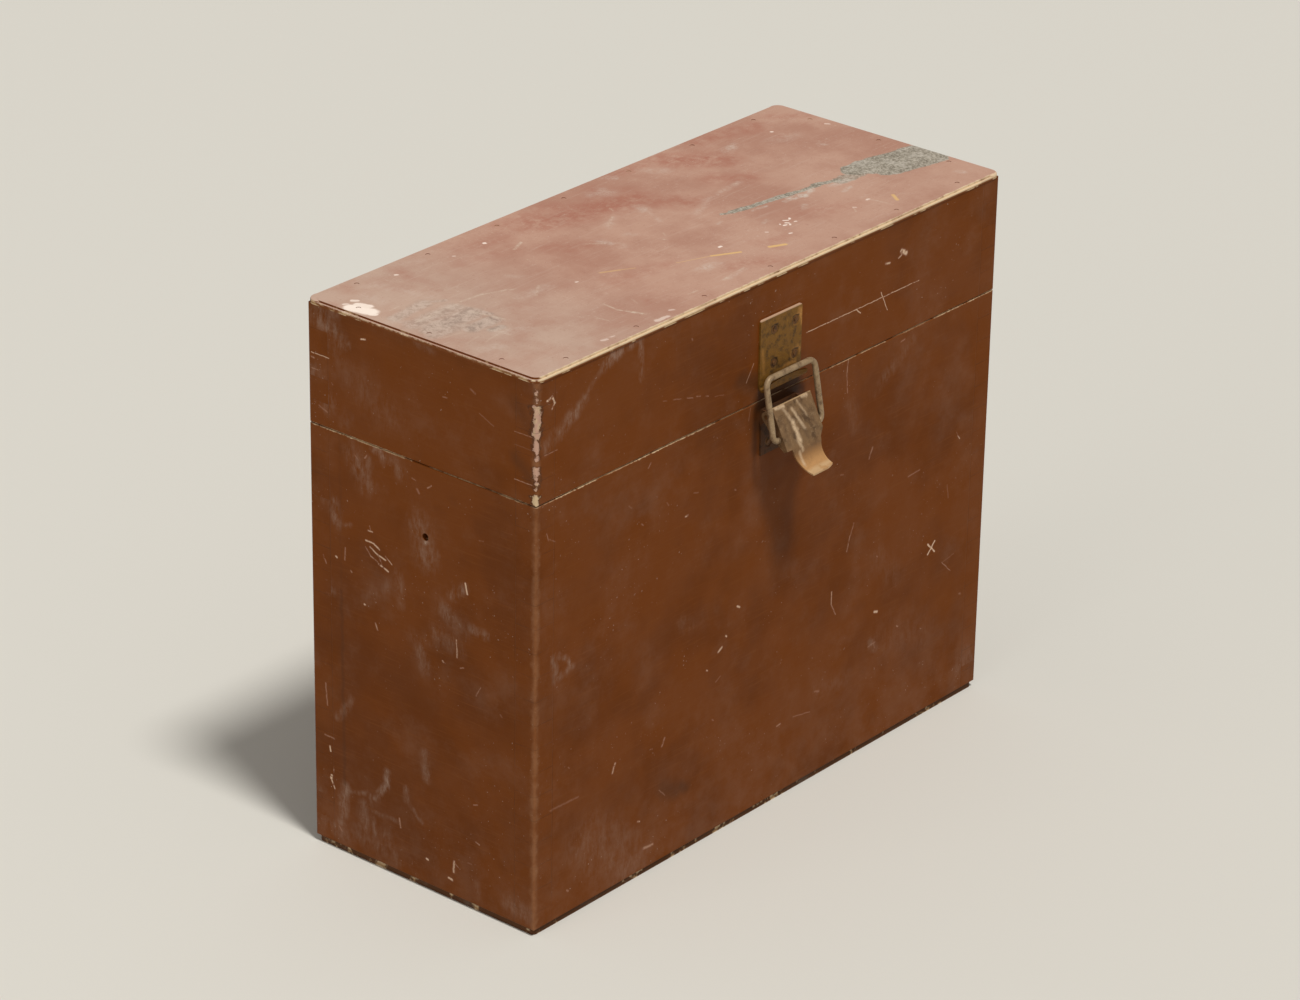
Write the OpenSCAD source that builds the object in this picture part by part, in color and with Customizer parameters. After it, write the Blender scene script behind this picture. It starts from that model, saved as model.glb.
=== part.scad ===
// Wooden carrying case for sewing machine attachments: a finger-jointed box sawn apart into a body
// and a lid, with two butt hinges at the back and a draw latch at the front.
// Millimetres, +Z up, the front towards -Y, the origin at the centre of the underside.

/* [Case] */
// Width of the boards' outline, left to right
case_w = 415; // [300:1:520]
// Depth of the boards' outline, front to back
case_d = 170; // [130:1:260]
// Height of the whole case
case_h = 344; // [280:1:420]
// Height of the lid with its top panel
lid_h = 76; // [60:1:110]
// Thickness of the boards
board_t = 15; // [12:0.5:18]
// Thickness of the plywood top panel
top_t = 3; // [2.5:0.5:6]
// Overhang of the top panel past the boards
top_overhang = 0.6; // [0:0.1:2]
// Corner radius of the top panel
top_corner_r = 6; // [3:0.5:12]
// Worn rounding along the upper edge of the top panel
top_ease = 1.2; // [0.4:0.1:2]
// Thickness of the plywood bottom panel
bottom_t = 4; // [3:0.5:8]
// Inset of the bottom panel from the boards' outer faces
bottom_inset = 1.5; // [0.5:0.5:5]
// Rounding of the four standing corners
arris_r = 1.5; // [0.5:0.25:3]
// Chamfer along the outer edges of the boards at the saw cut and the underside
edge_chamfer = 0.6; // [0.2:0.1:1.5]
// Gap left by the saw between body and lid
seam_gap = 0.4; // [0.2:0.1:1.5]
// Wanted height of one finger of the corner joints
finger_pitch = 14.6; // [10:0.2:25]

/* [Side hole] */
// Diameter of the hole through the left side board
side_hole_d = 4.5; // [3:0.5:10]
// Distance of the hole from the front face
side_hole_from_front = 81.7; // [40:0.1:110]
// Distance of the hole below the saw cut
side_hole_drop = 43.5; // [20:0.5:120]

/* [Panel brads] */
// Shank diameter of the brads that hold the panels
brad_d = 1.6; // [1:0.1:2.5]
// Head diameter of the brads
brad_head_d = 2.8; // [2:0.1:4]
// Length of the brads
brad_l = 22; // [15:1:40]
// Depth of a brad's head, and how far it is punched below the panel's face
brad_head_h = 0.8; // [0.4:0.1:1.5]
// Depth to which the heads are punched below the panel's face
brad_sink = 0.3; // [0.1:0.1:1]
// Greatest distance between neighbouring brads
brad_spacing = 62; // [40:1:100]
// Distance of the end brads from the corners of the case
brad_end = 32; // [25:1:50]
// Play between a nail or screw and its hole
pilot_play = 0.05; // [0.02:0.01:0.15]

/* [Hinges] */
// Distance of each hinge's centre from the nearer side face
hinge_inset = 85; // [50:1:130]
// Length of a hinge along its pin
hinge_l = 50; // [36:1:80]
// Thickness of a hinge leaf
hinge_t = 1.2; // [0.8:0.1:2]
// Reach of a leaf from the pin's centre
hinge_leaf_w = 21; // [16:0.5:30]
// Outer diameter of the knuckles
knuckle_d = 5.6; // [4.5:0.1:9]
// Diameter of the hinge pins
hinge_pin_d = 2.6; // [1.5:0.1:4]
// Number of knuckles, shared out between the two leaves
knuckles = 5; // [3:2:7]
// Gap between neighbouring knuckles
knuckle_gap = 0.3; // [0.1:0.05:1]
// Gap between the knuckles and the back boards
knuckle_clear = 0.15; // [0.1:0.05:0.5]
// Running clearance between a pin and its bore, on the radius
pin_play = 0.05; // [0.02:0.01:0.1]
// Screw shank diameter
screw_d = 3; // [2:0.1:4]
// Screw head diameter
screw_head_d = 5.6; // [4.5:0.1:7]
// Screw length
screw_l = 12; // [8:1:14]
// Width of the slots in the screw heads
screw_slot = 0.8; // [0.5:0.1:1.2]

/* [Latch keeper] */
// Distance of the latch's centre line to the right of the case's centre
latch_x = 0.8; // [-60:0.1:60]
// Width of the keeper plate
keeper_w = 37.4; // [25:0.1:50]
// Top edge of the keeper above the saw cut
keeper_top = 50.4; // [40:0.2:56]
// Thickness of the keeper's, base's and lever's sheet steel
sheet_t = 1.2; // [0.8:0.1:2]
// Height of the hook's curl centre above the saw cut
hook_up = 10; // [8:0.2:10.2]
// Height of the hook's lip above the curl centre, at mid width
lip_h = 2.9; // [2:0.1:2.9]
// Drop of the lip's edge from mid width to its ends
lip_arch = 1.9; // [0.5:0.1:2]
// Rounding of the keeper's top corners
keeper_corner_r = 1.8; // [0.3:0.1:4]
// Sideways spacing of the keeper's nails
keeper_nail_x = 19; // [12:0.2:20]
// Upward spacing of the keeper's nails
keeper_nail_z = 20.8; // [16:0.2:24]
// Height of the keeper's lower nails above the saw cut
keeper_nail_up = 20.7; // [19:0.1:22]
// How far the keeper's nails sit to the right of its middle
keeper_nail_shift = 3.7; // [-4:0.1:4]
// Shank diameter of the latch nails
nail_d = 2.6; // [1.5:0.1:4]
// Diameter of the dimple that a latch nail's head lies in
dimple_d = 7; // [5:0.1:8]
// Head diameter of the latch nails
nail_head_d = 5.4; // [4:0.1:6]
// Length of the latch nails
nail_l = 14; // [8:0.5:15.5]

/* [Latch link] */
// Diameter of the link's wire
wire_d = 3.6; // [2.8:0.1:4.4]
// Outer width of the link
link_w = 47.6; // [45:0.2:56]
// Height of the top bar's centre above the saw cut
bar_up = 17.1; // [15:0.1:22]
// Centre-line radius of the link's top corners
link_corner_r = 5; // [2.6:0.2:9]
// Centre-line radius of the bends at the link's lower ends
link_end_r = 4; // [2.5:0.1:4.2]
// Clearance between the link and the pieces it passes
link_clear = 0.3; // [0.2:0.05:0.5]
// Play of the wire in the hook's mouth
mouth_play = 0.2; // [0.1:0.05:0.4]

/* [Latch lever] */
// Width of the lever over its side flanges
lever_w = 34.8; // [30:0.1:35.2]
// Distance of the lever's top edge out from the front face
lever_top_out = 9.6; // [9:0.1:11]
// Distance of the lever's top edge below the saw cut
lever_top_drop = 1.3; // [0.8:0.1:3]
// Tilt of the lever's flat off the front face, in degrees
lever_tilt = 27.5; // [22:0.5:32]
// Length of the lever's flat down to its shoulders
lever_flat = 26.5; // [24:0.1:30]
// Length of the flat above the bevel that takes its lower right corner off
lever_bevel = 22; // [22:0.1:24]
// Pivot pin's distance out from the front face
pivot_out = 5.5; // [5.3:0.1:5.7]
// Pivot pin's distance below the saw cut
pivot_drop = 8; // [7.8:0.1:8.2]
// Diameter of the pivot pin
pivot_pin_d = 2.8; // [2:0.1:3]
// Distance of the link's eyes out from the front face
eye_out = 15.3; // [14:0.1:15.6]
// Distance of the link's eyes below the saw cut
eye_drop = 19.5; // [18:0.1:21]
// Radius of the metal left round the pivot and the eyes
lobe_r = 3.1; // [2.9:0.05:3.4]
// Width of the finger tongue
tongue_w = 26; // [18:0.2:32]
// Radius of the small bend where the tongue leaves the flat
tongue_neck_r = 4; // [3:0.5:8]
// Length of the straight between the small bend and the curl
tongue_neck_l = 0.6; // [0.5:0.1:3]
// Radius of the tongue's outward curl
tongue_curl_r = 12; // [9:0.5:18]
// Angle of the tongue's outward curl
tongue_curl = 80; // [50:1:88]
// Radius of the tongue's rounded end, seen from above
tongue_end_r = 40; // [14:0.5:60]
// How far the tongue's left edge draws in towards its end
tongue_draw = 7; // [0:0.5:8]

/* [Latch base] */
// Bottom edge of the base plate below the saw cut
base_bottom_drop = 34; // [30:0.5:45]
// Top edge of the base plate below the saw cut
base_top_drop = 5; // [4.5:0.1:5.2]
// Gap between the base's ears and the lever's flanges
ear_gap = 0.3; // [0.15:0.05:0.8]
// Radius of the ears' rounded ends
ear_r = 2.6; // [2.2:0.05:2.7]
// Sideways spacing of the base's nails
base_nail_x = 18; // [12:0.5:22]
// Upper base nails below the saw cut
base_nail_drop = 15; // [14:0.5:18]
// Upward spacing of the base's nails
base_nail_z = 12; // [9:0.5:14]

/* [Hidden] */
$fn = 48;
far = 1000;                                     // longer than anything in the case
lap = 0.2;                                      // how far a straight reaches into a bend
tongue_root = 3;                                // where the tongue starts above the shoulders
bend_thin = 0.05;                               // how much thinner a bend is on each side
seam_z = case_h - lid_h;                        // top of the body boards
lid_z = seam_z + seam_gap;                      // underside of the lid boards
frame_top = case_h - top_t;                     // top of the lid boards
hinge_z = seam_z + seam_gap / 2;
hinge_y = case_d / 2 + knuckle_d / 2 + knuckle_clear;
wire_r = wire_d / 2;
mouth = wire_d + mouth_play;                    // room for the wire between keeper plate and lip
bar_out = sheet_t + mouth + sheet_t + link_clear + wire_r;
link_len = norm([bar_out - eye_out, bar_up + eye_drop]);
link_lean = atan2(bar_out - eye_out, bar_up + eye_drop);
ear_x = lever_w / 2 - sheet_t - ear_gap;        // outer face of an ear
front_dir = [cos(lever_tilt), sin(lever_tilt)]; // out of the lever's flat, as [out, up]
down_dir = [sin(lever_tilt), -cos(lever_tilt)]; // down along the lever's flat

paint = "sienna";
bare_edge = "burlywood";
rusty = "peru";
steel = "slategray";

// Flat outlines

// Rectangle about the origin with round corners
module round_rect(w, d, r) {
    square([w, d - 2 * r], center = true);
    square([w - 2 * r, d], center = true);
    for (x = [-1, 1], y = [-1, 1])
        translate([x * (w / 2 - r), y * (d / 2 - r)]) circle(r);
}

// Part of a ring between two angles up to 180 degrees apart
module ring_sector(r_in, r_out, a0, a1) {
    reach = 2 * r_out;
    mid = (a0 + a1) / 2;
    intersection() {
        difference() {
            circle(r_out);
            circle(r_in);
        }
        polygon([[0, 0], reach * [cos(a0), sin(a0)], reach * [cos(mid), sin(mid)],
            reach * [cos(a1), sin(a1)]]);
    }
}

// Strip of thickness t that starts at the origin along +X. Each step is [length, 0] for a flat,
// or [radius, angle] for a bend, to the left where the angle is positive. As in bent sheet metal
// the bends are a hair thinner, so each ends inside the flats that reach a little way into it.
module bent_strip(steps, t, i = 0) {
    if (i < len(steps)) {
        size = steps[i][0];
        turn = steps[i][1];
        if (turn == 0) {
            lap_in = i > 0 ? lap : 0;
            lap_out = i < len(steps) - 1 ? lap : 0;
            translate([-lap_in, -t / 2]) square([size + lap_in + lap_out, t]);
            translate([size, 0]) bent_strip(steps, t, i + 1);
        } else {
            side = sign(turn);
            translate([0, side * size]) {
                ring_sector(size - t / 2 + bend_thin, size + t / 2 - bend_thin,
                    -side * 90, -side * 90 + turn);
                rotate(turn) translate([0, -side * size]) bent_strip(steps, t, i + 1);
            }
        }
    }
}

// Case

// Numbers of the fingers, counted down from the top of the lid: odd ones belong to the side
// boards and even ones to the front and back boards.
lid_fingers = round((frame_top - lid_z) / finger_pitch);
body_fingers = round((seam_z - bottom_t) / finger_pitch);

// Blocks at both ends of a board that is `length` long, one for each finger of the other boards
module finger_cuts(length, z0, z1, count, first) {
    pitch = (z1 - z0) / count;
    for (i = [first : 2 : count - 1], s = [-1, 1])
        translate([s * (length / 2 - board_t / 2), 0, z1 - (i + 0.5) * pitch])
            cube([board_t, 2 * board_t, pitch], center = true);
}

// Three-cornered slips that chamfer the outer edges at height z, for wood above it or below it
module chamfer_slips(z, wood_above) {
    c = edge_chamfer;
    up = wood_above ? 1 : -1;
    for (side = [0, 1]) rotate(180 * side) {
        translate([-far / 2, -case_d / 2, z]) rotate([90, 0, 90])
            linear_extrude(far) polygon([[-c, -up * c], [c, -up * c], [c, 0], [0, up * c], [-c, up * c]]);
        translate([-case_w / 2, far / 2, z]) rotate([90, 0, 0])
            linear_extrude(far) polygon([[-c, -up * c], [c, -up * c], [c, 0], [0, up * c], [-c, up * c]]);
    }
}

// One board along +X between two heights, with its outer face at -Y; `depth` is the case's size
// across it and `first` is 0 or 1, where the other boards' fingers start
module board(length, depth, z0, z1, count, first) {
    intersection() {
        difference() {
            translate([-length / 2, -depth / 2, z0]) cube([length, board_t, z1 - z0]);
            translate([0, -depth / 2 + board_t / 2, 0]) finger_cuts(length, z0, z1, count, first);
        }
        translate([0, 0, z0]) linear_extrude(z1 - z0) round_rect(length, depth, arris_r);
    }
}

module front_or_back(back, z0, z1, count, first)
    rotate(back ? 180 : 0) board(case_w, case_d, z0, z1, count, first);

module side(right, z0, z1, count, first)
    rotate(right ? 90 : -90) board(case_d, case_w, z0, z1, count, first);

// In the lid the top finger is the side boards', and the body carries on after the last one
body_first = lid_fingers % 2;

module body_front_or_back(back) difference() {
    front_or_back(back, bottom_t, seam_z, body_fingers, body_first);
    chamfer_slips(seam_z, false);
    chamfer_slips(bottom_t, true);
    bottom_brad_shape(pilot_play);
}

module body_side(right) difference() {
    side(right, bottom_t, seam_z, body_fingers, 1 - body_first);
    chamfer_slips(seam_z, false);
    chamfer_slips(bottom_t, true);
    bottom_brad_shape(pilot_play);
}

module lid_front_or_back(back) difference() {
    front_or_back(back, lid_z, frame_top, lid_fingers, 0);
    chamfer_slips(lid_z, true);
    top_brad_shape(pilot_play);
}

module lid_side(right) difference() {
    side(right, lid_z, frame_top, lid_fingers, 1);
    chamfer_slips(lid_z, true);
    top_brad_shape(pilot_play);
}

module body_front_board() color(paint) difference() {
    body_front_or_back(false);
    at_latch() latch_base_nail_places() nail_pilot();
}

module body_back_board() color(paint) difference() {
    body_front_or_back(true);
    hinge_screw_places(-1) screw_shape(pilot_play);
}

module body_left_board() color(paint) difference() {
    body_side(false);
    translate([-case_w / 2, side_hole_from_front - case_d / 2, seam_z - side_hole_drop])
        rotate([0, 90, 0]) cylinder(d = side_hole_d, h = 3 * board_t, center = true);
}

module body_right_board() color(paint) body_side(true);

module lid_front_board() color(paint) difference() {
    lid_front_or_back(false);
    at_latch() keeper_nail_places() nail_pilot();
}

module lid_back_board() color(paint) difference() {
    lid_front_or_back(true);
    hinge_screw_places(1) screw_shape(pilot_play);
}

module lid_left_board() color(paint) lid_side(false);

module lid_right_board() color(paint) lid_side(true);

module bottom_panel() color(bare_edge) difference() {
    linear_extrude(bottom_t)
        round_rect(case_w - 2 * bottom_inset, case_d - 2 * bottom_inset, arris_r + 1);
    bottom_brad_shape(pilot_play);
}

// Slab from z = 0 with round corners and its upper edge rounded over
module eased_slab(w, d, h, corner_r, ease) {
    inner_w = w - 2 * corner_r;
    inner_d = d - 2 * corner_r;
    linear_extrude(h - ease) round_rect(w, d, corner_r);
    linear_extrude(h) round_rect(w - 2 * ease, d - 2 * ease, corner_r - ease);
    for (s = [-1, 1]) {
        translate([0, s * (d / 2 - ease), h - ease]) rotate([0, 90, 0])
            cylinder(r = ease, h = inner_w, center = true);
        translate([s * (w / 2 - ease), 0, h - ease]) rotate([90, 0, 0])
            cylinder(r = ease, h = inner_d, center = true);
        for (t = [-1, 1]) translate([s * inner_w / 2, t * inner_d / 2, h - ease])
            rotate_extrude() translate([corner_r - ease, 0]) circle(ease);
    }
}

module top_panel() color(paint) difference() {
    translate([0, 0, frame_top])
        eased_slab(case_w + 2 * top_overhang, case_d + 2 * top_overhang, top_t, top_corner_r, top_ease);
    top_brad_shape(pilot_play);
}

// Brads

// Evenly spread places from -reach to reach, no further apart than the wanted spacing
function spread(reach) =
    let (n = max(1, ceil(2 * reach / brad_spacing)))
    [for (i = [0 : n]) -reach + 2 * reach * i / n];

// Brad along -Z from its head at the origin; its hole is `play` larger all round and runs out upwards
module brad(play) {
    translate([0, 0, -brad_l - play]) cylinder(d = brad_d + 2 * play, h = brad_l + play);
    head_h = brad_head_h + (play > 0 ? brad_sink + 1 : 0);
    translate([0, 0, -brad_head_h]) cylinder(d = brad_head_d + 2 * play, h = head_h);
}

module brad_places() {
    edge = board_t / 2;
    for (x = spread(case_w / 2 - brad_end), s = [-1, 1])
        translate([x, s * (case_d / 2 - edge), 0]) children();
    for (y = spread(case_d / 2 - brad_end), s = [-1, 1])
        translate([s * (case_w / 2 - edge), y, 0]) children();
}

module top_brad_shape(play)
    translate([0, 0, case_h - brad_sink]) brad_places() brad(play);

module bottom_brad_shape(play)
    translate([0, 0, brad_sink]) brad_places() mirror([0, 0, 1]) brad(play);

module top_brads() color(paint) top_brad_shape(0);

module bottom_brads() color(steel) bottom_brad_shape(0);

// Hinges

// Puts a hinge at its place with the pin along X: side is -1 for the left one, 1 for the right one
module at_hinge(side)
    translate([side * (case_w / 2 - hinge_inset), hinge_y, hinge_z]) children();

// Countersunk screw along -Y from the leaf's outer face at the origin, with its slot; the hole
// for it is `play` larger and has no slot
module screw_shape(play) {
    head_h = hinge_t;
    rotate([90, 0, 0]) difference() {
        union() {
            cylinder(d = screw_d + 2 * play, h = screw_l + play);
            cylinder(d1 = screw_head_d + 2 * play, d2 = screw_d + 2 * play, h = head_h);
            if (play > 0) translate([0, 0, -1]) cylinder(d = screw_head_d + 2 * play, h = 1);
        }
        if (play == 0) translate([-screw_head_d, -screw_slot / 2, -1])
            cube([2 * screw_head_d, screw_slot, 1.5]);
    }
}

// Three screws on each hinge: up is 1 for the lid's leaves and -1 for the body's
module hinge_screw_places(up) {
    mid = hinge_leaf_w * 0.58;
    for (side = [-1, 1], i = [-1, 0, 1])
        translate([side * (case_w / 2 - hinge_inset) + i * hinge_l * 0.34,
            case_d / 2 + hinge_t, hinge_z + up * (mid + (i == 0 ? 2 : -1.5))])
            rotate([0, i * 25, 0]) children();
}

// Leaf and its knuckles; the body's leaf has the outer ones
module hinge_leaf(side, up) {
    pitch = (hinge_l + knuckle_gap) / knuckles;
    leaf_bottom = knuckle_d / 2 + knuckle_gap;
    seat = case_d / 2 - hinge_y;
    own = up < 0 ? 0 : 1;
    difference() {
        at_hinge(side) difference() {
            union() {
                translate([-hinge_l / 2, seat, up > 0 ? leaf_bottom : -hinge_leaf_w])
                    cube([hinge_l, hinge_t, hinge_leaf_w - leaf_bottom]);
                for (i = [own : 2 : knuckles - 1])
                    translate([-hinge_l / 2 + i * pitch, 0, 0]) {
                        rotate([0, 90, 0]) cylinder(d = knuckle_d, h = pitch - knuckle_gap);
                        translate([0, seat, up > 0 ? 0 : -leaf_bottom])
                            cube([pitch - knuckle_gap, hinge_t, leaf_bottom]);
                    }
            }
            rotate([0, 90, 0])
                cylinder(r = hinge_pin_d / 2 + pin_play, h = 2 * hinge_l, center = true);
        }
        hinge_screw_places(up) screw_shape(pilot_play);
    }
}

module hinge_pin(side) at_hinge(side) rotate([0, 90, 0]) cylinder(d = hinge_pin_d, h = hinge_l, center = true);

module left_hinge_body_leaf() color(steel) hinge_leaf(-1, -1);
module left_hinge_lid_leaf() color(steel) hinge_leaf(-1, 1);
module left_hinge_pin() color(steel) hinge_pin(-1);
module right_hinge_body_leaf() color(steel) hinge_leaf(1, -1);
module right_hinge_lid_leaf() color(steel) hinge_leaf(1, 1);
module right_hinge_pin() color(steel) hinge_pin(1);
module body_hinge_screws() color(steel) hinge_screw_places(-1) screw_shape(0);
module lid_hinge_screws() color(steel) hinge_screw_places(1) screw_shape(0);

// Latch, in a frame whose X runs out of the front face, Y up from the saw cut and Z to the right

module at_latch()
    translate([latch_x, -case_d / 2, seam_z]) mirror([0, 1, 0]) rotate([90, 0, 90]) children();

// Nail shank into the wood from the plate's outer face at the origin
module nail_shank(play)
    translate([-nail_l - play, 0, 0]) rotate([0, 90, 0]) cylinder(d = nail_d + 2 * play, h = nail_l);

// Pilot hole in the wood for such a nail
module nail_pilot()
    translate([-nail_l - pilot_play, 0, 0]) rotate([0, 90, 0])
        cylinder(d = nail_d + 2 * pilot_play, h = nail_l);

// Dimpled nail hole through a plate from its outer face at the origin
module dimple() {
    nail_shank(pilot_play);
    translate([-sheet_t, 0, 0]) rotate([0, 90, 0])
        cylinder(d1 = nail_d + 2 * pilot_play, d2 = dimple_d, h = sheet_t);
}

// Nail whose head lies against the dimple's flank, a little below the plate's face
module nail() {
    flank = sheet_t / (dimple_d / 2 - nail_d / 2 - pilot_play);
    head_h = flank * (nail_head_d - nail_d) / 2;
    nail_shank(-pilot_play);
    translate([-sheet_t - pilot_play, 0, 0]) rotate([0, 90, 0]) {
        cylinder(d = nail_d, h = 2 * pilot_play);
        translate([0, 0, 2 * pilot_play]) cylinder(d1 = nail_d, d2 = nail_head_d, h = head_h);
    }
}

module keeper_nail_places()
    for (x = [-1, 1], i = [0, 1])
        translate([sheet_t, keeper_nail_up + i * keeper_nail_z, keeper_nail_shift + x * keeper_nail_x / 2])
            children();

module latch_base_nail_places()
    for (x = [-1, 1], i = [0, 1])
        translate([sheet_t, -base_nail_drop - i * base_nail_z, x * base_nail_x / 2]) children();

// Keeper: a plate whose lower end curls out and up into a hook with an arched lip
module keeper_plate() color(rusty) at_latch() {
    curl_r = (mouth + sheet_t) / 2;
    lip_out = sheet_t + mouth;
    lip_top = hook_up + lip_h;
    arch_r = (pow(keeper_w / 2, 2) + pow(lip_arch, 2)) / (2 * lip_arch);
    difference() {
        translate([sheet_t / 2, keeper_top, 0]) rotate(-90) linear_extrude(keeper_w, center = true)
            bent_strip([[keeper_top - hook_up, 0], [curl_r, 180], [lip_h, 0]], sheet_t);
        // the lip's edge falls away in an arc to both sides
        difference() {
            translate([lip_out - 1, lip_top - lip_arch - 1, -keeper_w])
                cube([sheet_t + 2, lip_arch + 2, 2 * keeper_w]);
            translate([lip_out - 2, lip_top - arch_r, 0]) rotate([0, 90, 0])
                cylinder(r = arch_r, h = sheet_t + 4, $fn = 180);
        }
        keeper_corner_cuts();
        keeper_nail_places() dimple();
    }
}

// What the round top corners of the keeper leave out
module keeper_corner_cuts()
    for (s = [-1, 1])
        translate([-1, keeper_top - keeper_corner_r, s * (keeper_w / 2 - keeper_corner_r)])
            rotate([0, 90, 0]) difference() {
                translate([s > 0 ? -2 * keeper_corner_r : 0, 0, 0])
                    cube([2 * keeper_corner_r, 2 * keeper_corner_r, sheet_t + 2]);
                cylinder(r = keeper_corner_r, h = sheet_t + 2);
            }

module keeper_nails() color(rusty) at_latch() keeper_nail_places() nail();

// Base: a plate with two ears turned out of its sides for the pivot pin
module latch_base() color(rusty) at_latch() difference() {
    union() {
        translate([0, -base_bottom_drop, -ear_x])
            cube([sheet_t, base_bottom_drop - base_top_drop, 2 * ear_x]);
        for (s = [-1, 1])
            translate([0, 0, s * (ear_x - sheet_t / 2)]) linear_extrude(sheet_t, center = true) {
                translate([pivot_out, -pivot_drop]) circle(ear_r);
                polygon([[0, -base_top_drop], [pivot_out, ear_r - pivot_drop],
                    [pivot_out, -ear_r - pivot_drop], [0, -ear_r - pivot_drop - 5]]);
            }
    }
    translate([pivot_out, -pivot_drop, 0]) cylinder(r = pivot_pin_d / 2 + pin_play, h = far, center = true);
    latch_base_nail_places() dimple();
}

module latch_base_nails() color(rusty) at_latch() latch_base_nail_places() nail();

module latch_pivot_pin() color(rusty) at_latch()
    translate([pivot_out, -pivot_drop, 0]) cylinder(d = pivot_pin_d, h = lever_w, center = true);

// Lever: a flat with side flanges that carry the pivot and the link's eyes, and a tongue that
// bends off its lower end and curls out for the finger
module latch_lever() color(rusty) at_latch() {
    top = [lever_top_out, -lever_top_drop];
    foot = top + lever_flat * down_dir;
    pivot = [pivot_out, -pivot_drop];
    eye = [eye_out, -eye_drop];
    between = (eye - pivot) / norm(eye - pivot);
    back = (lobe_r - bend_thin) * [between[1], -between[0]]; // from a hole to the flange's back edge
    middle = top - sheet_t / 2 * front_dir;
    difference() {
        union() {
            translate(middle) rotate(lever_tilt - 90) linear_extrude(lever_w, center = true)
                bent_strip([[lever_flat, 0]], sheet_t);
            intersection() {
                translate(middle + (lever_flat - tongue_root) * down_dir) rotate(lever_tilt - 90)
                    linear_extrude(tongue_w, center = true)
                        bent_strip([[tongue_root, 0], [tongue_neck_r, -lever_tilt], [tongue_neck_l, 0],
                            [tongue_curl_r, tongue_curl], [1, 0]], sheet_t);
                tongue_outline(foot);
            }
            for (s = [-1, 1])
                translate([0, 0, s * (lever_w - sheet_t) / 2]) linear_extrude(sheet_t, center = true) {
                    polygon([top, foot, foot - (lobe_r - 0.4) * front_dir, eye + back, pivot + back,
                        pivot - lobe_r * front_dir - 0.6 * down_dir, top - 2 * sheet_t * front_dir]);
                    translate(pivot) circle(lobe_r);
                    translate(eye) circle(lobe_r);
                }
        }
        translate(middle) rotate(lever_tilt - 90) rotate([90, 0, 0]) linear_extrude(20, center = true)
            polygon([[lever_bevel, lever_w], [lever_bevel, lever_w / 2], [lever_flat, tongue_w / 2],
                [lever_flat + 1, tongue_w / 2 + 1], [lever_flat + 1, lever_w]]);
        translate(pivot) cylinder(r = pivot_pin_d / 2 + pin_play, h = far, center = true);
        for (s = [-1, 1])
            translate([eye[0], eye[1], s * lever_w / 2])
                cylinder(r = wire_r + pin_play, h = 4 * sheet_t, center = true);
    }
}

// Block that holds the tongue's outline: round at the end seen from above, and drawn in on the
// left seen from the front
module tongue_outline(foot) {
    neck_out = tongue_neck_r * (1 - cos(lever_tilt));
    end_out = foot[0] + neck_out + tongue_curl_r * (1 - cos(tongue_curl)) + 1;
    end_up = foot[1] - tongue_neck_r - tongue_curl_r;
    straight_out = end_out - tongue_end_r + sqrt(pow(tongue_end_r, 2) - pow(tongue_w / 2, 2)) - 1;
    slope = tongue_draw / (foot[1] - end_up);
    intersection() {
        translate([0, 2 * lever_flat - far / 2, 0]) rotate([-90, 0, 0]) linear_extrude(far / 2) {
            translate([-far / 4, -tongue_w]) square([far / 4 + straight_out, 2 * tongue_w]);
            translate([end_out - tongue_end_r, 0]) circle(tongue_end_r, $fn = 96);
        }
        rotate([0, 90, 0]) linear_extrude(far / 4, center = true)
            polygon([[-tongue_w, foot[1] + 10], [tongue_w / 2 + 10 * slope, foot[1] + 10],
                [tongue_w / 2 - tongue_draw, end_up], [tongue_w / 2 - tongue_draw, end_up - 10],
                [-tongue_w, end_up - 10]]);
    }
}

// Link: one length of wire bent into a loop, with its two ends turned inwards into the lever's eyes
module latch_link() color(steel) at_latch() {
    half_w = link_w / 2 - wire_r;
    end_x = lever_w / 2 - sheet_t - 2;             // how near the centre line the wire's ends reach
    end = [half_w - link_end_r - end_x, 0];
    leg = [link_len - link_corner_r - link_end_r, 0];
    bar = [2 * (half_w - link_corner_r), 0];
    foot = [link_end_r, -90];
    corner = [link_corner_r, -90];
    translate([eye_out, -eye_drop, 0]) rotate(-link_lean) rotate([0, 90, 0])
        translate([-end_x, 0, 0]) rotate(180)
            bent_wire([end, foot, leg, corner, bar, corner, leg, foot, end]);
}

// Round wire along the same kind of steps as bent_strip, in the XY plane
module bent_wire(steps, i = 0) {
    if (i < len(steps)) {
        size = steps[i][0];
        turn = steps[i][1];
        if (turn == 0) {
            lap_in = i > 0 ? lap : 0;
            lap_out = i < len(steps) - 1 ? lap : 0;
            translate([-lap_in, 0, 0]) rotate([0, 90, 0]) cylinder(d = wire_d, h = size + lap_in + lap_out);
            translate([size, 0, 0]) bent_wire(steps, i + 1);
        } else {
            side = sign(turn);
            translate([0, side * size, 0]) {
                rotate(-side * 90 + min(turn, 0)) rotate_extrude(angle = abs(turn))
                    translate([size, 0]) circle(wire_r - bend_thin);
                rotate(turn) translate([0, -side * size, 0]) bent_wire(steps, i + 1);
            }
        }
    }
}

body_front_board();
body_back_board();
body_left_board();
body_right_board();
bottom_panel();
bottom_brads();
lid_front_board();
lid_back_board();
lid_left_board();
lid_right_board();
top_panel();
top_brads();
left_hinge_body_leaf();
left_hinge_lid_leaf();
left_hinge_pin();
right_hinge_body_leaf();
right_hinge_lid_leaf();
right_hinge_pin();
body_hinge_screws();
lid_hinge_screws();
keeper_plate();
keeper_nails();
latch_base();
latch_base_nails();
latch_pivot_pin();
latch_lever();
latch_link();
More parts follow.
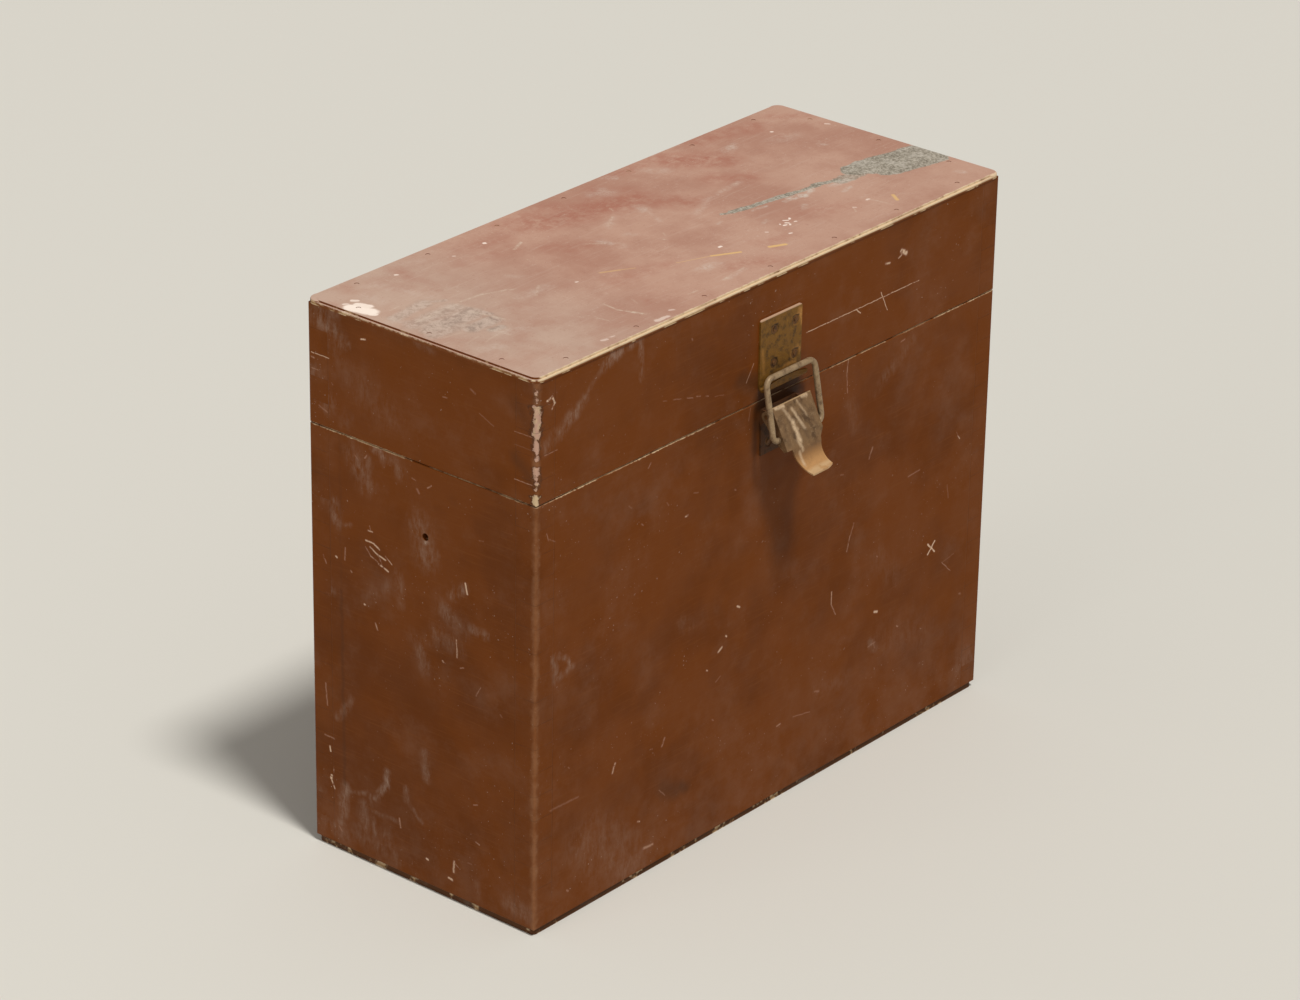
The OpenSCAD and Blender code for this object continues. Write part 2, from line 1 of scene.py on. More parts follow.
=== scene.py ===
# %% [markdown]
# # A painted wooden box for sewing machine attachments
#
# The object is a tall narrow box of pine boards with a hinged lid, painted brown all over, with a rusty
# draw latch on its front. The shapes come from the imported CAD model, which this script loads as a fixed
# frame. What is left to do here is the look: worn paint, bare wood inside, plywood edges and rust. No piece
# is added, because every shape of the box is in the CAD model. Each step first says what it is on the real
# box and why it is made this way.

# %% Load the CAD frame
import math

import bmesh
import bpy
from mathutils import Matrix, Vector

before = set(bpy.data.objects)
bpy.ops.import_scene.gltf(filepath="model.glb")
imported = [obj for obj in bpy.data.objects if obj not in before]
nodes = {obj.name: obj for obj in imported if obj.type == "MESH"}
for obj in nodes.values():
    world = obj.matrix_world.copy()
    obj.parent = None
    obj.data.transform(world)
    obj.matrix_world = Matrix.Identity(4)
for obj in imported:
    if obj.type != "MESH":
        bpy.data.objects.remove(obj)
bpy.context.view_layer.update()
HALF_WIDTH, HALF_DEPTH, BOARD = 207.5, 85.0, 15.0    # the boards' outer faces and their thickness, mm
JOINT_Z = 268.2                                      # middle of the gap between case and lid
TOP_Z, TOP_LIP = 344.0, 0.6                          # the top panel's face, and how far it stands proud
PLIES = 3
RUST_RELIEF = 0.12

# %% [markdown]
# ## The camera
#
# The photograph was taken from the box's front left corner, from above the lid, with a long lens: the box's
# edges hardly converge. A lens of 132 mm, 2.9 m away, gives the same lines. The place and the three
# directions were solved from the box's corners, and they are written as numbers, so nothing here depends on
# the picture itself.

# %% Place the camera
camera = bpy.data.objects.new("camera", bpy.data.cameras.new("camera"))
bpy.context.scene.collection.objects.link(camera)
bpy.context.scene.camera = camera
camera.data.sensor_width = 36
camera.data.sensor_fit = "HORIZONTAL"
camera.data.lens = 131.72
camera.data.clip_end = 50
right = Vector((0.646032, -0.763157, 0.01527))
down = Vector((-0.315747, -0.285394, -0.904906))
ahead = Vector((0.694943, 0.579777, -0.425339))
camera.matrix_world = Matrix.Translation((-1.95294, -1.62117, 1.36652)) @ Matrix(
    (right, -down, -ahead)).transposed().to_4x4()
print("camera at", [round(v, 2) for v in camera.location], "lens", camera.data.lens, "mm")

# %% [markdown]
# ## Floor and light
#
# A plain pale floor and soft light let the paint show its own colours. The sky does most of the lighting.
# One wide sun stands high in front of the box, because in the photograph the latch throws a soft shadow
# straight down the front, and a large window light fills the left side. Together they are at a level at
# which a colour on the lid renders about as it is written. The camera sees a paler sky than the one that
# lights the box, so the background is near white without more light on the paint.

# %% Lay the floor and set the light
floor_mesh = bpy.data.meshes.new("floor")
sketch = bmesh.new()
bmesh.ops.create_grid(sketch, x_segments=1, y_segments=1, size=8)
sketch.to_mesh(floor_mesh)
sketch.free()
floor = bpy.data.objects.new("floor", floor_mesh)
bpy.context.scene.collection.objects.link(floor)
floor_finish = bpy.data.materials.new("floor")
floor_finish.use_nodes = True
floor_finish.node_tree.nodes["Principled BSDF"].inputs["Base Color"].default_value = (0.66, 0.63, 0.56, 1)
floor_finish.node_tree.nodes["Principled BSDF"].inputs["Roughness"].default_value = 0.85
floor_mesh.materials.append(floor_finish)

sun = bpy.data.objects.new("sun", bpy.data.lights.new("sun", "SUN"))
bpy.context.scene.collection.objects.link(sun)
sun.data.energy = 2.5
sun.data.angle = math.radians(10)
sun.rotation_euler = Vector((-0.08, -0.40, 0.92)).to_track_quat("Z", "Y").to_euler()

window = bpy.data.objects.new("window", bpy.data.lights.new("window", "AREA"))
bpy.context.scene.collection.objects.link(window)
window.data.energy = 20
window.data.size = 2.2
window.location = (-3.0, 0.1, 0.9)
window.rotation_euler = Vector((-1, 0.03, 0.25)).to_track_quat("Z", "Y").to_euler()

world = bpy.data.worlds.new("sky")
bpy.context.scene.world = world
world.use_nodes = True
sky = world.node_tree
for old in list(sky.nodes):
    sky.nodes.remove(old)
sky_out = sky.nodes.new("ShaderNodeOutputWorld")
lighting = sky.nodes.new("ShaderNodeBackground")
lighting.inputs["Color"].default_value = (1, 0.99, 0.97, 1)
lighting.inputs["Strength"].default_value = 0.30
backdrop = sky.nodes.new("ShaderNodeBackground")
backdrop.inputs["Color"].default_value = (0.90, 0.88, 0.83, 1)
chooser = sky.nodes.new("ShaderNodeMixShader")
rays = sky.nodes.new("ShaderNodeLightPath")
sky.links.new(rays.outputs["Is Camera Ray"], chooser.inputs["Fac"])
sky.links.new(lighting.outputs[0], chooser.inputs[1])
sky.links.new(backdrop.outputs[0], chooser.inputs[2])
sky.links.new(chooser.outputs[0], sky_out.inputs["Surface"])
bpy.context.scene.view_settings.view_transform = "Standard"
print("floor, sun and sky are set")

# %% [markdown]
# ## A small helper for building finishes
#
# Every finish on this box is a tree of shader nodes that reads the piece's own coordinates, in millimetres,
# so a scratch is written down where a ruler would find it. Wiring such trees by hand takes many lines. The
# class below adds one node for each call and returns its output, which keeps the recipes further down
# readable.

# %% Define the helper
line_groups = {}


def drawn_lines(lines, soft):
    """A node group that turns a place into 1 on any of the lines and 0 elsewhere. A line is
    (u1, v1, u2, v2, width, strength), in mm on the flat face; its edge fades over soft times its width."""
    key = (tuple(lines), soft)
    if key in line_groups:
        return line_groups[key]
    group = bpy.data.node_groups.new("drawn lines", "ShaderNodeTree")
    group.interface.new_socket("Place", in_out="INPUT", socket_type="NodeSocketVector")
    group.interface.new_socket("Mask", in_out="OUTPUT", socket_type="NodeSocketFloat")
    place = group.nodes.new("NodeGroupInput").outputs[0]
    strongest = None
    for u1, v1, u2, v2, width, strength in lines:
        run = Vector((u2 - u1, v2 - v1, 0))
        off, dot, share, near, gap, mark, join = (group.nodes.new("ShaderNode" + kind) for kind in (
            "VectorMath", "VectorMath", "Clamp", "VectorMath", "VectorMath", "MapRange", "Math"))
        off.operation, dot.operation = "SUBTRACT", "DOT_PRODUCT"
        near.operation, gap.operation = "SCALE", "DISTANCE"
        off.inputs[1].default_value = (u1, v1, 0)
        dot.inputs[1].default_value = run / run.length_squared
        near.inputs[0].default_value = run
        edge = 0.3 + soft * width
        mark.interpolation_type = "SMOOTHSTEP"
        for key_name, number in (("From Min", (width + edge) / 2), ("From Max", max(0.0, (width - edge) / 2)),
                                 ("To Min", 0.0), ("To Max", strength)):
            mark.inputs[key_name].default_value = number
        join.operation = "MAXIMUM"
        for start, end in ((place, off.inputs[0]), (off.outputs[0], dot.inputs[0]),
                           (dot.outputs["Value"], share.inputs[0]),
                           (share.outputs[0], near.inputs["Scale"]), (off.outputs[0], gap.inputs[0]),
                           (near.outputs[0], gap.inputs[1]), (gap.outputs["Value"], mark.inputs["Value"]),
                           (mark.outputs["Result"], join.inputs[0])):
            group.links.new(start, end)
        if strongest is not None:
            group.links.new(strongest, join.inputs[1])
        else:
            join.inputs[1].default_value = 0.0
        strongest = join.outputs[0]
    group.links.new(strongest, group.nodes.new("NodeGroupOutput").inputs[0])
    line_groups[key] = group
    return group


class Finish:
    """A material being built: each method adds a node and returns what comes out of it."""

    def __init__(self, name, specular=0.3, metallic=0.0):
        self.material = bpy.data.materials.new(name)
        self.material.use_nodes = True
        self.tree = self.material.node_tree
        self.shader = self.tree.nodes["Principled BSDF"]
        self.shader.inputs["Specular IOR Level"].default_value = specular
        self.shader.inputs["Metallic"].default_value = metallic
        place = self.tree.nodes.new("ShaderNodeTexCoord")
        self.mm = self.vector("SCALE", place.outputs["Object"], scale=1000.0)
        self.x, self.y, self.z = self.split(self.mm)
        self.facing = self.split(place.outputs["Normal"])

    def feed(self, socket, value):
        if isinstance(value, bpy.types.NodeSocket):
            self.tree.links.new(value, socket)
        else:
            socket.default_value = value

    def add(self, kind, *values, **settings):
        """A new shader node with its settings made and its inputs fed in their order."""
        node = self.tree.nodes.new("ShaderNode" + kind)
        for key, setting in settings.items():
            setattr(node, key, setting)
        for socket, value in zip(node.inputs, values):
            self.feed(socket, value)
        return node

    def math(self, operation, *values):
        return self.add("Math", *values, operation=operation).outputs[0]

    def vector(self, operation, *values, scale=None):
        node = self.add("VectorMath", *values, operation=operation)
        if scale is not None:
            self.feed(node.inputs["Scale"], scale)
        return node.outputs["Vector"]

    def split(self, vector):
        return self.add("SeparateXYZ", vector).outputs[:3]

    def join(self, x, y, z=0.0):
        return self.add("CombineXYZ", x, y, z).outputs[0]

    def stretch(self, x, y, z):
        """The place in mm, squeezed or stretched along each axis: grain is noise stretched along a board."""
        return self.vector("MULTIPLY", self.mm, (x, y, z))

    def noise(self, size, detail=3.0, place=None, seed=0.0, rough=0.55, colour=False):
        """Cloudy noise whose blotches are about size mm across."""
        node = self.add("TexNoise", self.mm if place is None else place, noise_dimensions="4D")
        for key, number in (("W", seed), ("Scale", 1.0 / size), ("Detail", detail), ("Roughness", rough)):
            node.inputs[key].default_value = number
        return node.outputs["Color" if colour else "Fac"]

    def fade(self, value, low, high, start=0.0, end=1.0):
        """Goes from start to end while value goes from low to high, and stays there outside."""
        node = self.add("MapRange", interpolation_type="SMOOTHSTEP")
        for key, number in (("From Min", low), ("From Max", high), ("To Min", start), ("To Max", end)):
            self.feed(node.inputs[key], number)
        self.feed(node.inputs["Value"], value)
        return node.outputs["Result"]

    def inset(self, place, edge):
        """How far a coordinate is inside the two faces at plus and minus edge."""
        return self.math("SUBTRACT", edge, self.math("ABSOLUTE", place))

    def ripple(self, reach, size, detail=3.0, **noise):
        """Noise about zero that reaches half of reach to either side."""
        return self.math("MULTIPLY", self.math("SUBTRACT", self.noise(size, detail, **noise), 0.5), reach)

    def both(self, *masks):
        """All masks multiplied."""
        total = masks[0]
        for mask in masks[1:]:
            total = self.math("MULTIPLY", total, mask)
        return total

    def either(self, *masks):
        """The strongest of the masks."""
        total = masks[0]
        for mask in masks[1:]:
            total = self.math("MAXIMUM", total, mask)
        return total

    def over(self, under, top, *masks):
        """The colour top laid over the colour under where all masks are 1."""
        node = self.add("Mix", self.both(*masks), data_type="RGBA")
        for socket, colour in zip(node.inputs[6:8], (under, top)):
            self.feed(socket, (*colour, 1) if isinstance(colour, tuple) else colour)
        return node.outputs[2]

    def wobble(self, flat, size, reach, seed=0.0):
        """The place shifted by up to about reach mm, so that drawn lines aren't straight."""
        shift = self.noise(size, 2.0, seed=seed, colour=True)
        return self.vector("ADD", flat, self.vector(
            "MULTIPLY", self.vector("SUBTRACT", shift, (0.5, 0.5, 0.5)), (2 * reach, 2 * reach, 0)))

    def marks(self, flat, lines, soft=0.6):
        """1 on the drawn lines and 0 elsewhere, at a place on a flat face."""
        return self.add("Group", flat, node_tree=drawn_lines(lines, soft)).outputs[0]

    def colour(self, value):
        self.feed(self.shader.inputs["Base Color"], value)

    def roughness(self, value):
        self.feed(self.shader.inputs["Roughness"], value)

    def bump(self, height, reach):
        """Relief: a height of 1 stands reach mm proud."""
        node = self.add("Bump", 1.0, reach / 1000)
        self.feed(node.inputs["Height"], height)
        self.tree.links.new(node.outputs[0], self.shader.inputs["Normal"])


def dress(name, finish):
    """Gives a CAD node a finish: its shape stays as it is."""
    mesh = nodes[name].data
    mesh.materials.clear()
    mesh.materials.append(finish.material)


print("the helper is ready")

# %% [markdown]
# ## The brown paint
#
# The boards carry one thick coat of brown gloss paint that has gone dull: darker and lighter clouds, brush
# lines along the boards, grey dust, pale scuffs, and bare wood where edges were knocked. A painter would
# glaze this in layers, from the ground colour up to the chips, and the material does the same. Random noise
# makes the clouds and the dust. The scuffs that can be told apart in the photograph are lists of short
# lines in millimetres, because a worn box is recognised by where its marks are. A few dark marks behind and
# below the latch are painted shade, where the latch shades the front.

# %% Scratches, smears, chips and painted shade on the front
lid_front_scratches = [
    (25.4, 297.4, 131.5, 297.4, 0.7, 0.9), (192.7, 298, 206.2, 298.3, 0.6, 0.4),
    (72.3, 297.1, 75.9, 293.8, 1, 0.9), (95, 301, 101.6, 287.8, 0.9, 0.9),
    (-77.7, 326.4, -77.1, 325.5, 1.3, 0.4), (-28.4, 283.6, -22.1, 293.5, 0.9, 0.6),
    (-13.4, 320.4, 20.9, 320.4, 0.5, 0.1), (-101.6, 296.5, -98.6, 295.6, 0.8, 0.3),
    (-92.6, 294.4, -86.1, 292.9, 0.8, 0.4), (-80.7, 291.4, -75.9, 289.9, 0.8, 0.5),
    (-72.3, 289.6, -69.3, 288.7, 0.9, 0.5), (-64.2, 287.2, -62.2, 286.6, 0.9, 0.5),
    (-56.8, 284.5, -48.4, 283, 0.6, 0.25), (-200.8, 297.1, -190.6, 297.1, 0.8, 0.5),
    (201.7, 327, 206.2, 328.5, 0.6, 0.5), (98.6, 318, 102.5, 317.1, 2, 0.75),
    (113.5, 321.3, 118, 318.9, 4.2, 0.95), (113.5, 318.9, 110.6, 317.7, 1.6, 0.7),
    (-199, 328.5, -195.1, 329.7, 2, 0.9), (-195.1, 329.7, -192.7, 325.5, 2, 0.9),
    (-192.7, 325.5, -194.8, 322.8, 1.6, 0.7),
]
lid_front_smears = [
    (-121, 342.2, -137.4, 339.2, 5, 0.55), (-137.4, 339.2, -150.9, 333.8, 5, 0.6),
    (-167.9, 319.5, -174.8, 314.4, 5, 0.55), (-179.3, 312.9, -189.7, 306.4, 6, 0.45),
    (-191.2, 306.4, -199.6, 301.6, 6, 0.35), (-121, 339.8, -120.7, 316.5, 3.2, 0.42),
    (-152.4, 333.8, -167.3, 321.9, 3, 0.2), (-32.9, 286, -14.9, 279.5, 9, -0.5),
    # painted shade: the next mark darkens the face behind the latch's link window, where the latch shades it
    (-15, 271, 16, 271, 9, -0.97),
]
body_front_scratches = [
    (-198.7, 249.6, -197.2, 244.8, 0.8, 0.5), (-196.6, 245.4, -191.8, 242.4, 0.8, 0.4),
    (66.3, 269.3, 65.1, 259.1, 1.1, 0.55), (65.1, 259.1, 66.3, 246.6, 1.1, 0.5),
    (-23.9, 266.6, -25.4, 259.1, 0.8, 0.35), (-113.5, 259.7, -111.2, 262.1, 1.2, 0.5),
    (-129.7, 242.1, -127.3, 240, 1, 0.3), (-118.9, 227.1, -117.1, 225.7, 1.2, 0.45),
    (-96.8, 232.8, -95, 230.4, 0.9, 0.3), (-80.1, 218.5, -78, 218.2, 1.6, 0.7),
    (-73.2, 230.4, -69.3, 229.5, 0.9, 0.35), (-36.2, 219.7, -35.3, 219.1, 1.2, 0.45),
    (116.5, 262.7, 120.1, 263.3, 1.4, 0.5), (62.7, 194.9, 65.1, 194.3, 1, 0.45),
    (92.6, 202.9, 89.6, 196.4, 1.6, 0.5), (177.8, 181.4, 179.6, 179, 1.3, 0.7),
    (129.1, 171, 140.4, 171.6, 1.1, 0.45), (176.3, 184.4, 178.1, 181.4, 0.7, 0.3),
    (77.1, 158.7, 74.1, 151.5, 0.9, 0.5), (73.5, 151.5, 71.1, 142, 1.2, 0.55),
    (57.7, 120.1, 57.7, 112.1, 1.3, 0.65), (57.7, 112.1, 62.2, 103.7, 1, 0.55),
    (169.1, 151.5, 170.9, 142.6, 0.8, 0.35), (167.3, 100.1, 176.3, 91.2, 0.7, 0.55),
    (167.9, 100.1, 179.3, 101.9, 0.6, 0.3), (101, 128.2, 101.6, 127.6, 1.4, 0.5),
    (-31.4, 143.8, -29, 142.3, 1.7, 0.8), (-41.2, 128.5, -40.6, 127.9, 1.9, 0.85),
    (-44.8, 122.2, -47.8, 120.4, 2.4, 0.75), (-58.3, 112.4, -57.4, 111.8, 1.4, 0.7),
    (-49.6, 101.6, -45.4, 103.7, 1, 0.35), (-138.6, 84, -141, 78.3, 2, 0.65),
    (-95, 82.8, -97.4, 78.3, 1.8, 0.5), (-107.6, 80.4, -105.8, 80.1, 1, 0.4),
    (-179.3, 97.7, -178.4, 96.8, 1, 0.4), (-52, 78, -50.8, 76.8, 1, 0.4),
    (-194.2, 76.2, -170.3, 75.3, 1.6, 0.28), (100.4, 91.2, 103.4, 90.3, 2.2, 0.85),
    (123.7, 73.2, 124.9, 72.3, 1.5, 0.6), (186.8, 71.7, 188.2, 71.1, 1.5, 0.6),
    (95.6, 69.3, 102.2, 70.2, 1.4, 0.35), (100.1, 72.3, 102.2, 66.3, 1, 0.3),
    (44.8, 58.9, 48.4, 57.7, 1.8, 0.4), (9, 49.6, 12, 49.9, 1.5, 0.55), (24.5, 49.9, 40.3, 46.9, 1, 0.4),
    (-117.7, 37.6, -116.5, 37.1, 1.8, 0.8), (-99.2, 50.5, -93.8, 45.1, 0.8, 0.4),
    (-179.3, 18.5, -178.4, 17.9, 2, 0.6), (-112, 17.6, -104, 17, 2.5, 0.55),
    (147.6, 62.5, 148.8, 61.9, 1, 0.5),
]
body_front_smears = [
    (-191.8, 171, -190.6, 160.5, 4, 0.4), (-188.2, 171.9, -176.9, 162, 2.2, 0.55),
    (-190.6, 156, -176.3, 160.5, 3, 0.3), (128.5, 262.1, 92.6, 238.2, 6, 0.18),
    (68.7, 238.2, 74.7, 223.3, 8, 0.15), (101.6, 127.6, 119.5, 106.7, 12, 0.12),
    (98.6, 70.8, 101.6, 66.3, 5, 0.3), (-164.3, 43.9, -125.5, 14, 26, 0.22),
    (110.6, 70.8, 149.4, 58.9, 22, 0.1), (-95.6, 49.9, -83.7, 43.9, 9, -0.4),
    (-79.2, 45.4, -74.7, 41.5, 6, -0.5), (194.2, 20, 206.2, 5.1, 16, 0.25), (44.8, 58.9, 74.7, 55.9, 8, 0.12),
    # painted shade: the last two marks of the next line and the mark below them darken the face under and
    # beside the latch's lever
    (-80.7, 151.5, -74.7, 145.5, 8, 0.12), (-15, 264, 16, 264, 10, -0.97), (-14, 254, 14, 254, 14, -0.9),
    (-19, 254, -19, 240, 7, -0.55),
]
white_star = [
    (151.8, 117.8, 159, 110.9, 1.7, 1), (159, 117.8, 152.4, 110.9, 1.7, 1),
]
print("marks on the front:", len(lid_front_scratches) + len(body_front_scratches))

# %% Scratches, smears and chips on the left side
lid_left_scratches = [
    (44.4, 330, 41.1, 331, 1.6, 0.9), (82.4, 311.4, 69.1, 311.4, 0.9, 0.8),
    (82.4, 308.5, 80.4, 308.5, 1.5, 0.6), (82.4, 301.8, 77.5, 301.8, 0.8, 0.5),
    (-16.9, 313.7, -19.9, 313.7, 1.2, 0.4), (-37.2, 324.1, -40.6, 322.6, 1.6, 0.35),
    (-43.6, 311.7, -54, 307.2, 0.8, 0.3), (67.1, 297.3, 66.3, 296.3, 1, 0.5),
    (77, 280.5, 70.8, 278, 1.4, 0.35), (-69.3, 309, -81.9, 309, 0.7, 0.5),
    (-69.3, 301.3, -81.9, 301.3, 0.6, 0.2), (-69.3, 280.7, -81.9, 280.7, 0.8, 0.6),
    (-60.9, 341.4, -63.9, 340.9, 1.2, 0.8),
]
lid_left_smears = [
    (77, 334.2, 59.7, 325.6, 9, 0.42), (78.2, 337.9, 64.6, 339.2, 6, 0.3), (64.6, 328, 54.7, 324.3, 4, 0.3),
    (80.7, 298.3, 70.8, 283.5, 10, 0.25), (54.7, 281, 57.2, 276, 7, 0.2),
    (69.6, 320.6, 52.3, 305.7, 12, 0.12), (42.4, 300.8, 27.6, 290.9, 20, 0.12),
    (2.8, 340.4, -9.5, 339.2, 4, 0.2), (-70.1, 293.4, -81.2, 283.5, 7, -0.35),
    (-70.1, 325.6, -81.2, 313.2, 8, -0.25),
]
body_left_scratches = [
    (40.6, 214.6, 36.9, 214.6, 1.4, 0.7), (39.2, 217.8, 38.4, 214.8, 1, 0.5),
    (42.4, 207.9, 36.2, 207.7, 1.5, 0.8), (36.2, 207.7, 31.8, 205.2, 1.5, 0.8),
    (42.4, 203.7, 38.9, 199.7, 1, 0.5), (38.9, 204.7, 33, 201.7, 1.4, 0.8),
    (33, 201.7, 27.1, 200.2, 1.5, 0.85), (38.7, 199.2, 33.5, 197.3, 1.3, 0.6),
    (32.5, 196.3, 25.1, 193.8, 1.6, 0.85), (27.1, 202.7, 22.4, 199.2, 1.2, 0.7),
    (32.5, 201.2, 30, 196.8, 1.1, 0.5), (-33.2, 205.7, -34.7, 199.7, 1.8, 0.9),
    (-26.3, 168.3, -26.8, 157.6, 1.1, 0.7), (-15.9, 151.7, -16.9, 151.2, 1.4, 0.7),
    (-44.6, 144.8, -41.1, 138.3, 0.8, 0.5), (43.9, 167.3, 43.4, 167, 1.8, 0.8),
    (35.5, 158.1, 34, 154.2, 1.4, 0.6), (65.6, 190.3, 64.9, 189.8, 1.8, 0.85),
    (54.2, 185.1, 53.3, 184.4, 1.2, 0.6), (75.5, 187.9, 73.5, 183.4, 1.2, 0.5),
    (58.2, 198, 58.7, 190.3, 1.3, 0.5), (42.4, 258.7, 40.9, 260.7, 1.2, 0.5),
    (50.3, 258.7, 48.3, 256.7, 1, 0.35), (6.5, 257.4, 3.8, 256.7, 1, 0.5), (-5.1, 255, -8, 257.2, 1.2, 0.55),
    (2.8, 251.8, 1.4, 249.8, 2, 0.4), (-43.6, 235.2, -46.6, 235.9, 1, 0.3),
    (-29.3, 151.7, -31.8, 152.7, 1.1, 0.5), (-39.2, 68.5, -42.1, 69.5, 1.1, 0.5),
    (-2.8, 20.2, -4.1, 19.9, 2, 0.9), (-19.9, 14, -22.9, 13.7, 2, 0.9), (-41.1, 45.2, -43.6, 44.2, 1.2, 0.6),
    (-24.3, 26.4, -23.8, 19.4, 2.2, 0.7), (-23.8, 26.4, -27.8, 23.4, 1, 0.5),
    (18.2, 38.7, 17.2, 32.8, 1.4, 0.55), (76, 26.4, 72.5, 30.3, 1.2, 0.55), (65.9, 16, 64.1, 13.5, 1.2, 0.4),
    (-34.7, 29.3, -37.7, 29.3, 0.8, 0.3), (-59.4, 132.9, -60.4, 131.9, 1, 0.3),
]
body_left_smears = [
    (35, 266.6, 27.1, 264.6, 4, 0.55), (27.1, 264.6, 15.2, 258.7, 8, 0.3), (51, 258.7, 42.4, 243.8, 11, 0.3),
    (39.9, 258.7, 41.1, 243.8, 5, 0.25), (67.1, 222.8, 64.6, 211.6, 6, 0.35),
    (57.2, 211.6, 53.5, 213.6, 2.4, 0.45), (80.7, 229, 74.5, 226.5, 8, 0.18),
    (83.2, 177.4, 70.1, 167.5, 4.5, 0.4), (25.1, 184.4, 42.4, 172, 7, 0.14),
    (17.7, 194.3, 15.2, 177, 5, 0.25), (-31.8, 202.2, -23.1, 194.3, 5, 0.35),
    (-16.9, 184.4, -29.3, 174.5, 9, 0.3), (-12, 167, -26.8, 164.6, 9, 0.25),
    (1.6, 154.7, -2.1, 142.3, 7, 0.28), (7.8, 159.6, -12, 159.6, 7, 0.15),
    (-37.2, 178.9, -49.5, 178.9, 4, 0.38), (54.7, 102.6, 65.9, 87.8, 4, 0.3),
    (-2.1, 87.3, -3.6, 72.9, 4.5, 0.38), (28, 65, 27.1, 56.8, 3.2, 0.65), (27.1, 58.1, 36.4, 45.2, 3, 0.6),
    (12.2, 60, 11.7, 51.9, 3, 0.38), (11.7, 51.9, 0.9, 42.7, 2, 0.3), (60.2, 42.7, 64.1, 20.4, 5.5, 0.5),
    (46.8, 35.8, 46.3, 22.9, 6, 0.42), (62.1, 39.5, 43.6, 46.2, 2, 0.35), (41.1, 45.2, 40.4, 38.3, 2, 0.3),
    (38.7, 35.3, 18.2, 35.8, 2, 0.25), (80.7, 33.3, 77, 23.4, 6, 0.22), (38.7, 30.8, 37.4, 20.9, 3, 0.3),
    (30, 25.9, 25.1, 13.5, 7, 0.22), (84.4, 16, 62.1, 11, 8, 0.25), (52.3, 16, 22.6, 11, 9, 0.2),
    (-66.3, 14.7, -78.7, 12.2, 9, 0.25), (-41.6, 18.4, -42.9, 11, 4, 0.2), (-8, 18.4, -12, 8.5, 6, 0.15),
]
body_left_orange = [
    (72.5, 66, 70.5, 51.6, 1.7, 0.9), (70.5, 51.6, 72, 45.2, 2.4, 0.95), (72, 45.2, 69.1, 39.7, 1.4, 0.85),
    (75.5, 107.1, 74, 91.8, 1.3, 0.5), (81.9, 107.1, 75.5, 107.1, 0.9, 0.3),
    (76.5, 72.4, 69.1, 72.2, 1.3, 0.5),
]
left_dark_line = [
    (61.7, 266.6, 61.7, 169.5, 1.3, 0.3), (61.7, 169.5, 61.2, 45.2, 1.9, 0.75),
]
halo = [
    (-3.3, 221.2, -3.9, 220.8, 3, 1.0), (-0.1, 229, -3.3, 211.6, 13, 0.32),
    (-12, 219.1, -13.2, 216.6, 3, 0.3),
]
print("marks on the left side:", len(lid_left_scratches) + len(body_left_scratches))

# %% [markdown]
# ## Boards: painted outside, bare inside
#
# A maker glues the box up first and paints it closed, so the inner faces and the rims at the lid's joint
# stay bare pine. One recipe serves all eight boards: it asks how far a point is from the outer faces, and
# paints the point or leaves it bare. Wear follows the same distances: it is strongest on the arris nearest
# the camera, which is knocked down to the wood on the lid, and along the joint of the lid.

# %% Where the lid's joint and the foot are rubbed bare, along x on the front and along y on the left
def stretches(*spans):
    """Marks along one line, from (start, end, width, strength)."""
    return [(start, 0, end, 0, width, strength) for start, end, width, strength in spans]


seam_front = stretches(
    (-207, -194, 3, 0.5), (-190, -159, 3, 1.0), (-148, -128, 3, 0.55), (-124, -83, 3, 1.0),
    (-78, -57, 3, 0.6), (50, 72, 3, 0.55), (78, 100, 3, 0.65), (118, 138, 3, 0.3), (150, 178, 3, 0.8),
    (183, 206, 3, 0.9))
seam_left = stretches(
    (84, 30, 3, 1.0), (28, 8, 3, 0.8), (-60, -84, 3, 0.65))
foot_front = stretches(
    (-200, -105, 4, 0.45), (-82, -30, 4, 0.8), (-30, 35, 5, 1.0), (40, 72, 4, 0.55), (112, 135, 4, 0.6),
    (160, 204, 4, 0.45))
arris_chips = stretches(
    (270, 274, 3, 1.0), (279, 291, 3, 0.85), (296, 300, 2, 0.7), (302, 327, 4, 1.0), (331, 337, 3, 0.6))
foot_left = stretches(
    (69.6, 52.3, 4, 1.0), (41.1, 24.6, 4, 0.9), (-60, -83, 4, 0.6), (84, 74, 3, 0.3))
print("rubbed stretches:", len(seam_front) + len(seam_left) + len(foot_front) + len(foot_left))

# %% Mix the paint
PAINT_DARK = (0.122, 0.030, 0.0022)
PAINT_BROWN = (0.154, 0.039, 0.0034)
PAINT_LIGHT = (0.180, 0.053, 0.0090)
THIN_PAINT = (0.34, 0.17, 0.085)
DUST = (0.42, 0.31, 0.24)
CHALK = (0.62, 0.50, 0.40)
CREAM_WOOD = (0.58, 0.42, 0.25)
CHIP_EDGE_DARK = (0.055, 0.022, 0.010)
# dark stains, and the painted shade round the latch on the front
DARK_STAIN_AND_SHADE = (0.06, 0.024, 0.010)
JOINT_SHADE = (0.05, 0.018, 0.006)
SCRATCH_RED = (0.40, 0.21, 0.140)
SCRATCH_PALE = (0.66, 0.46, 0.31)
CHIP_PINK = (0.50, 0.300, 0.215)
CASE_PITCH, LID_PITCH = 268 / 18, 14.52    # height of one finger, mm
LID_FOOT, FINGER = 268.4, 14.7             # where the lid's fingers start, and their mean height


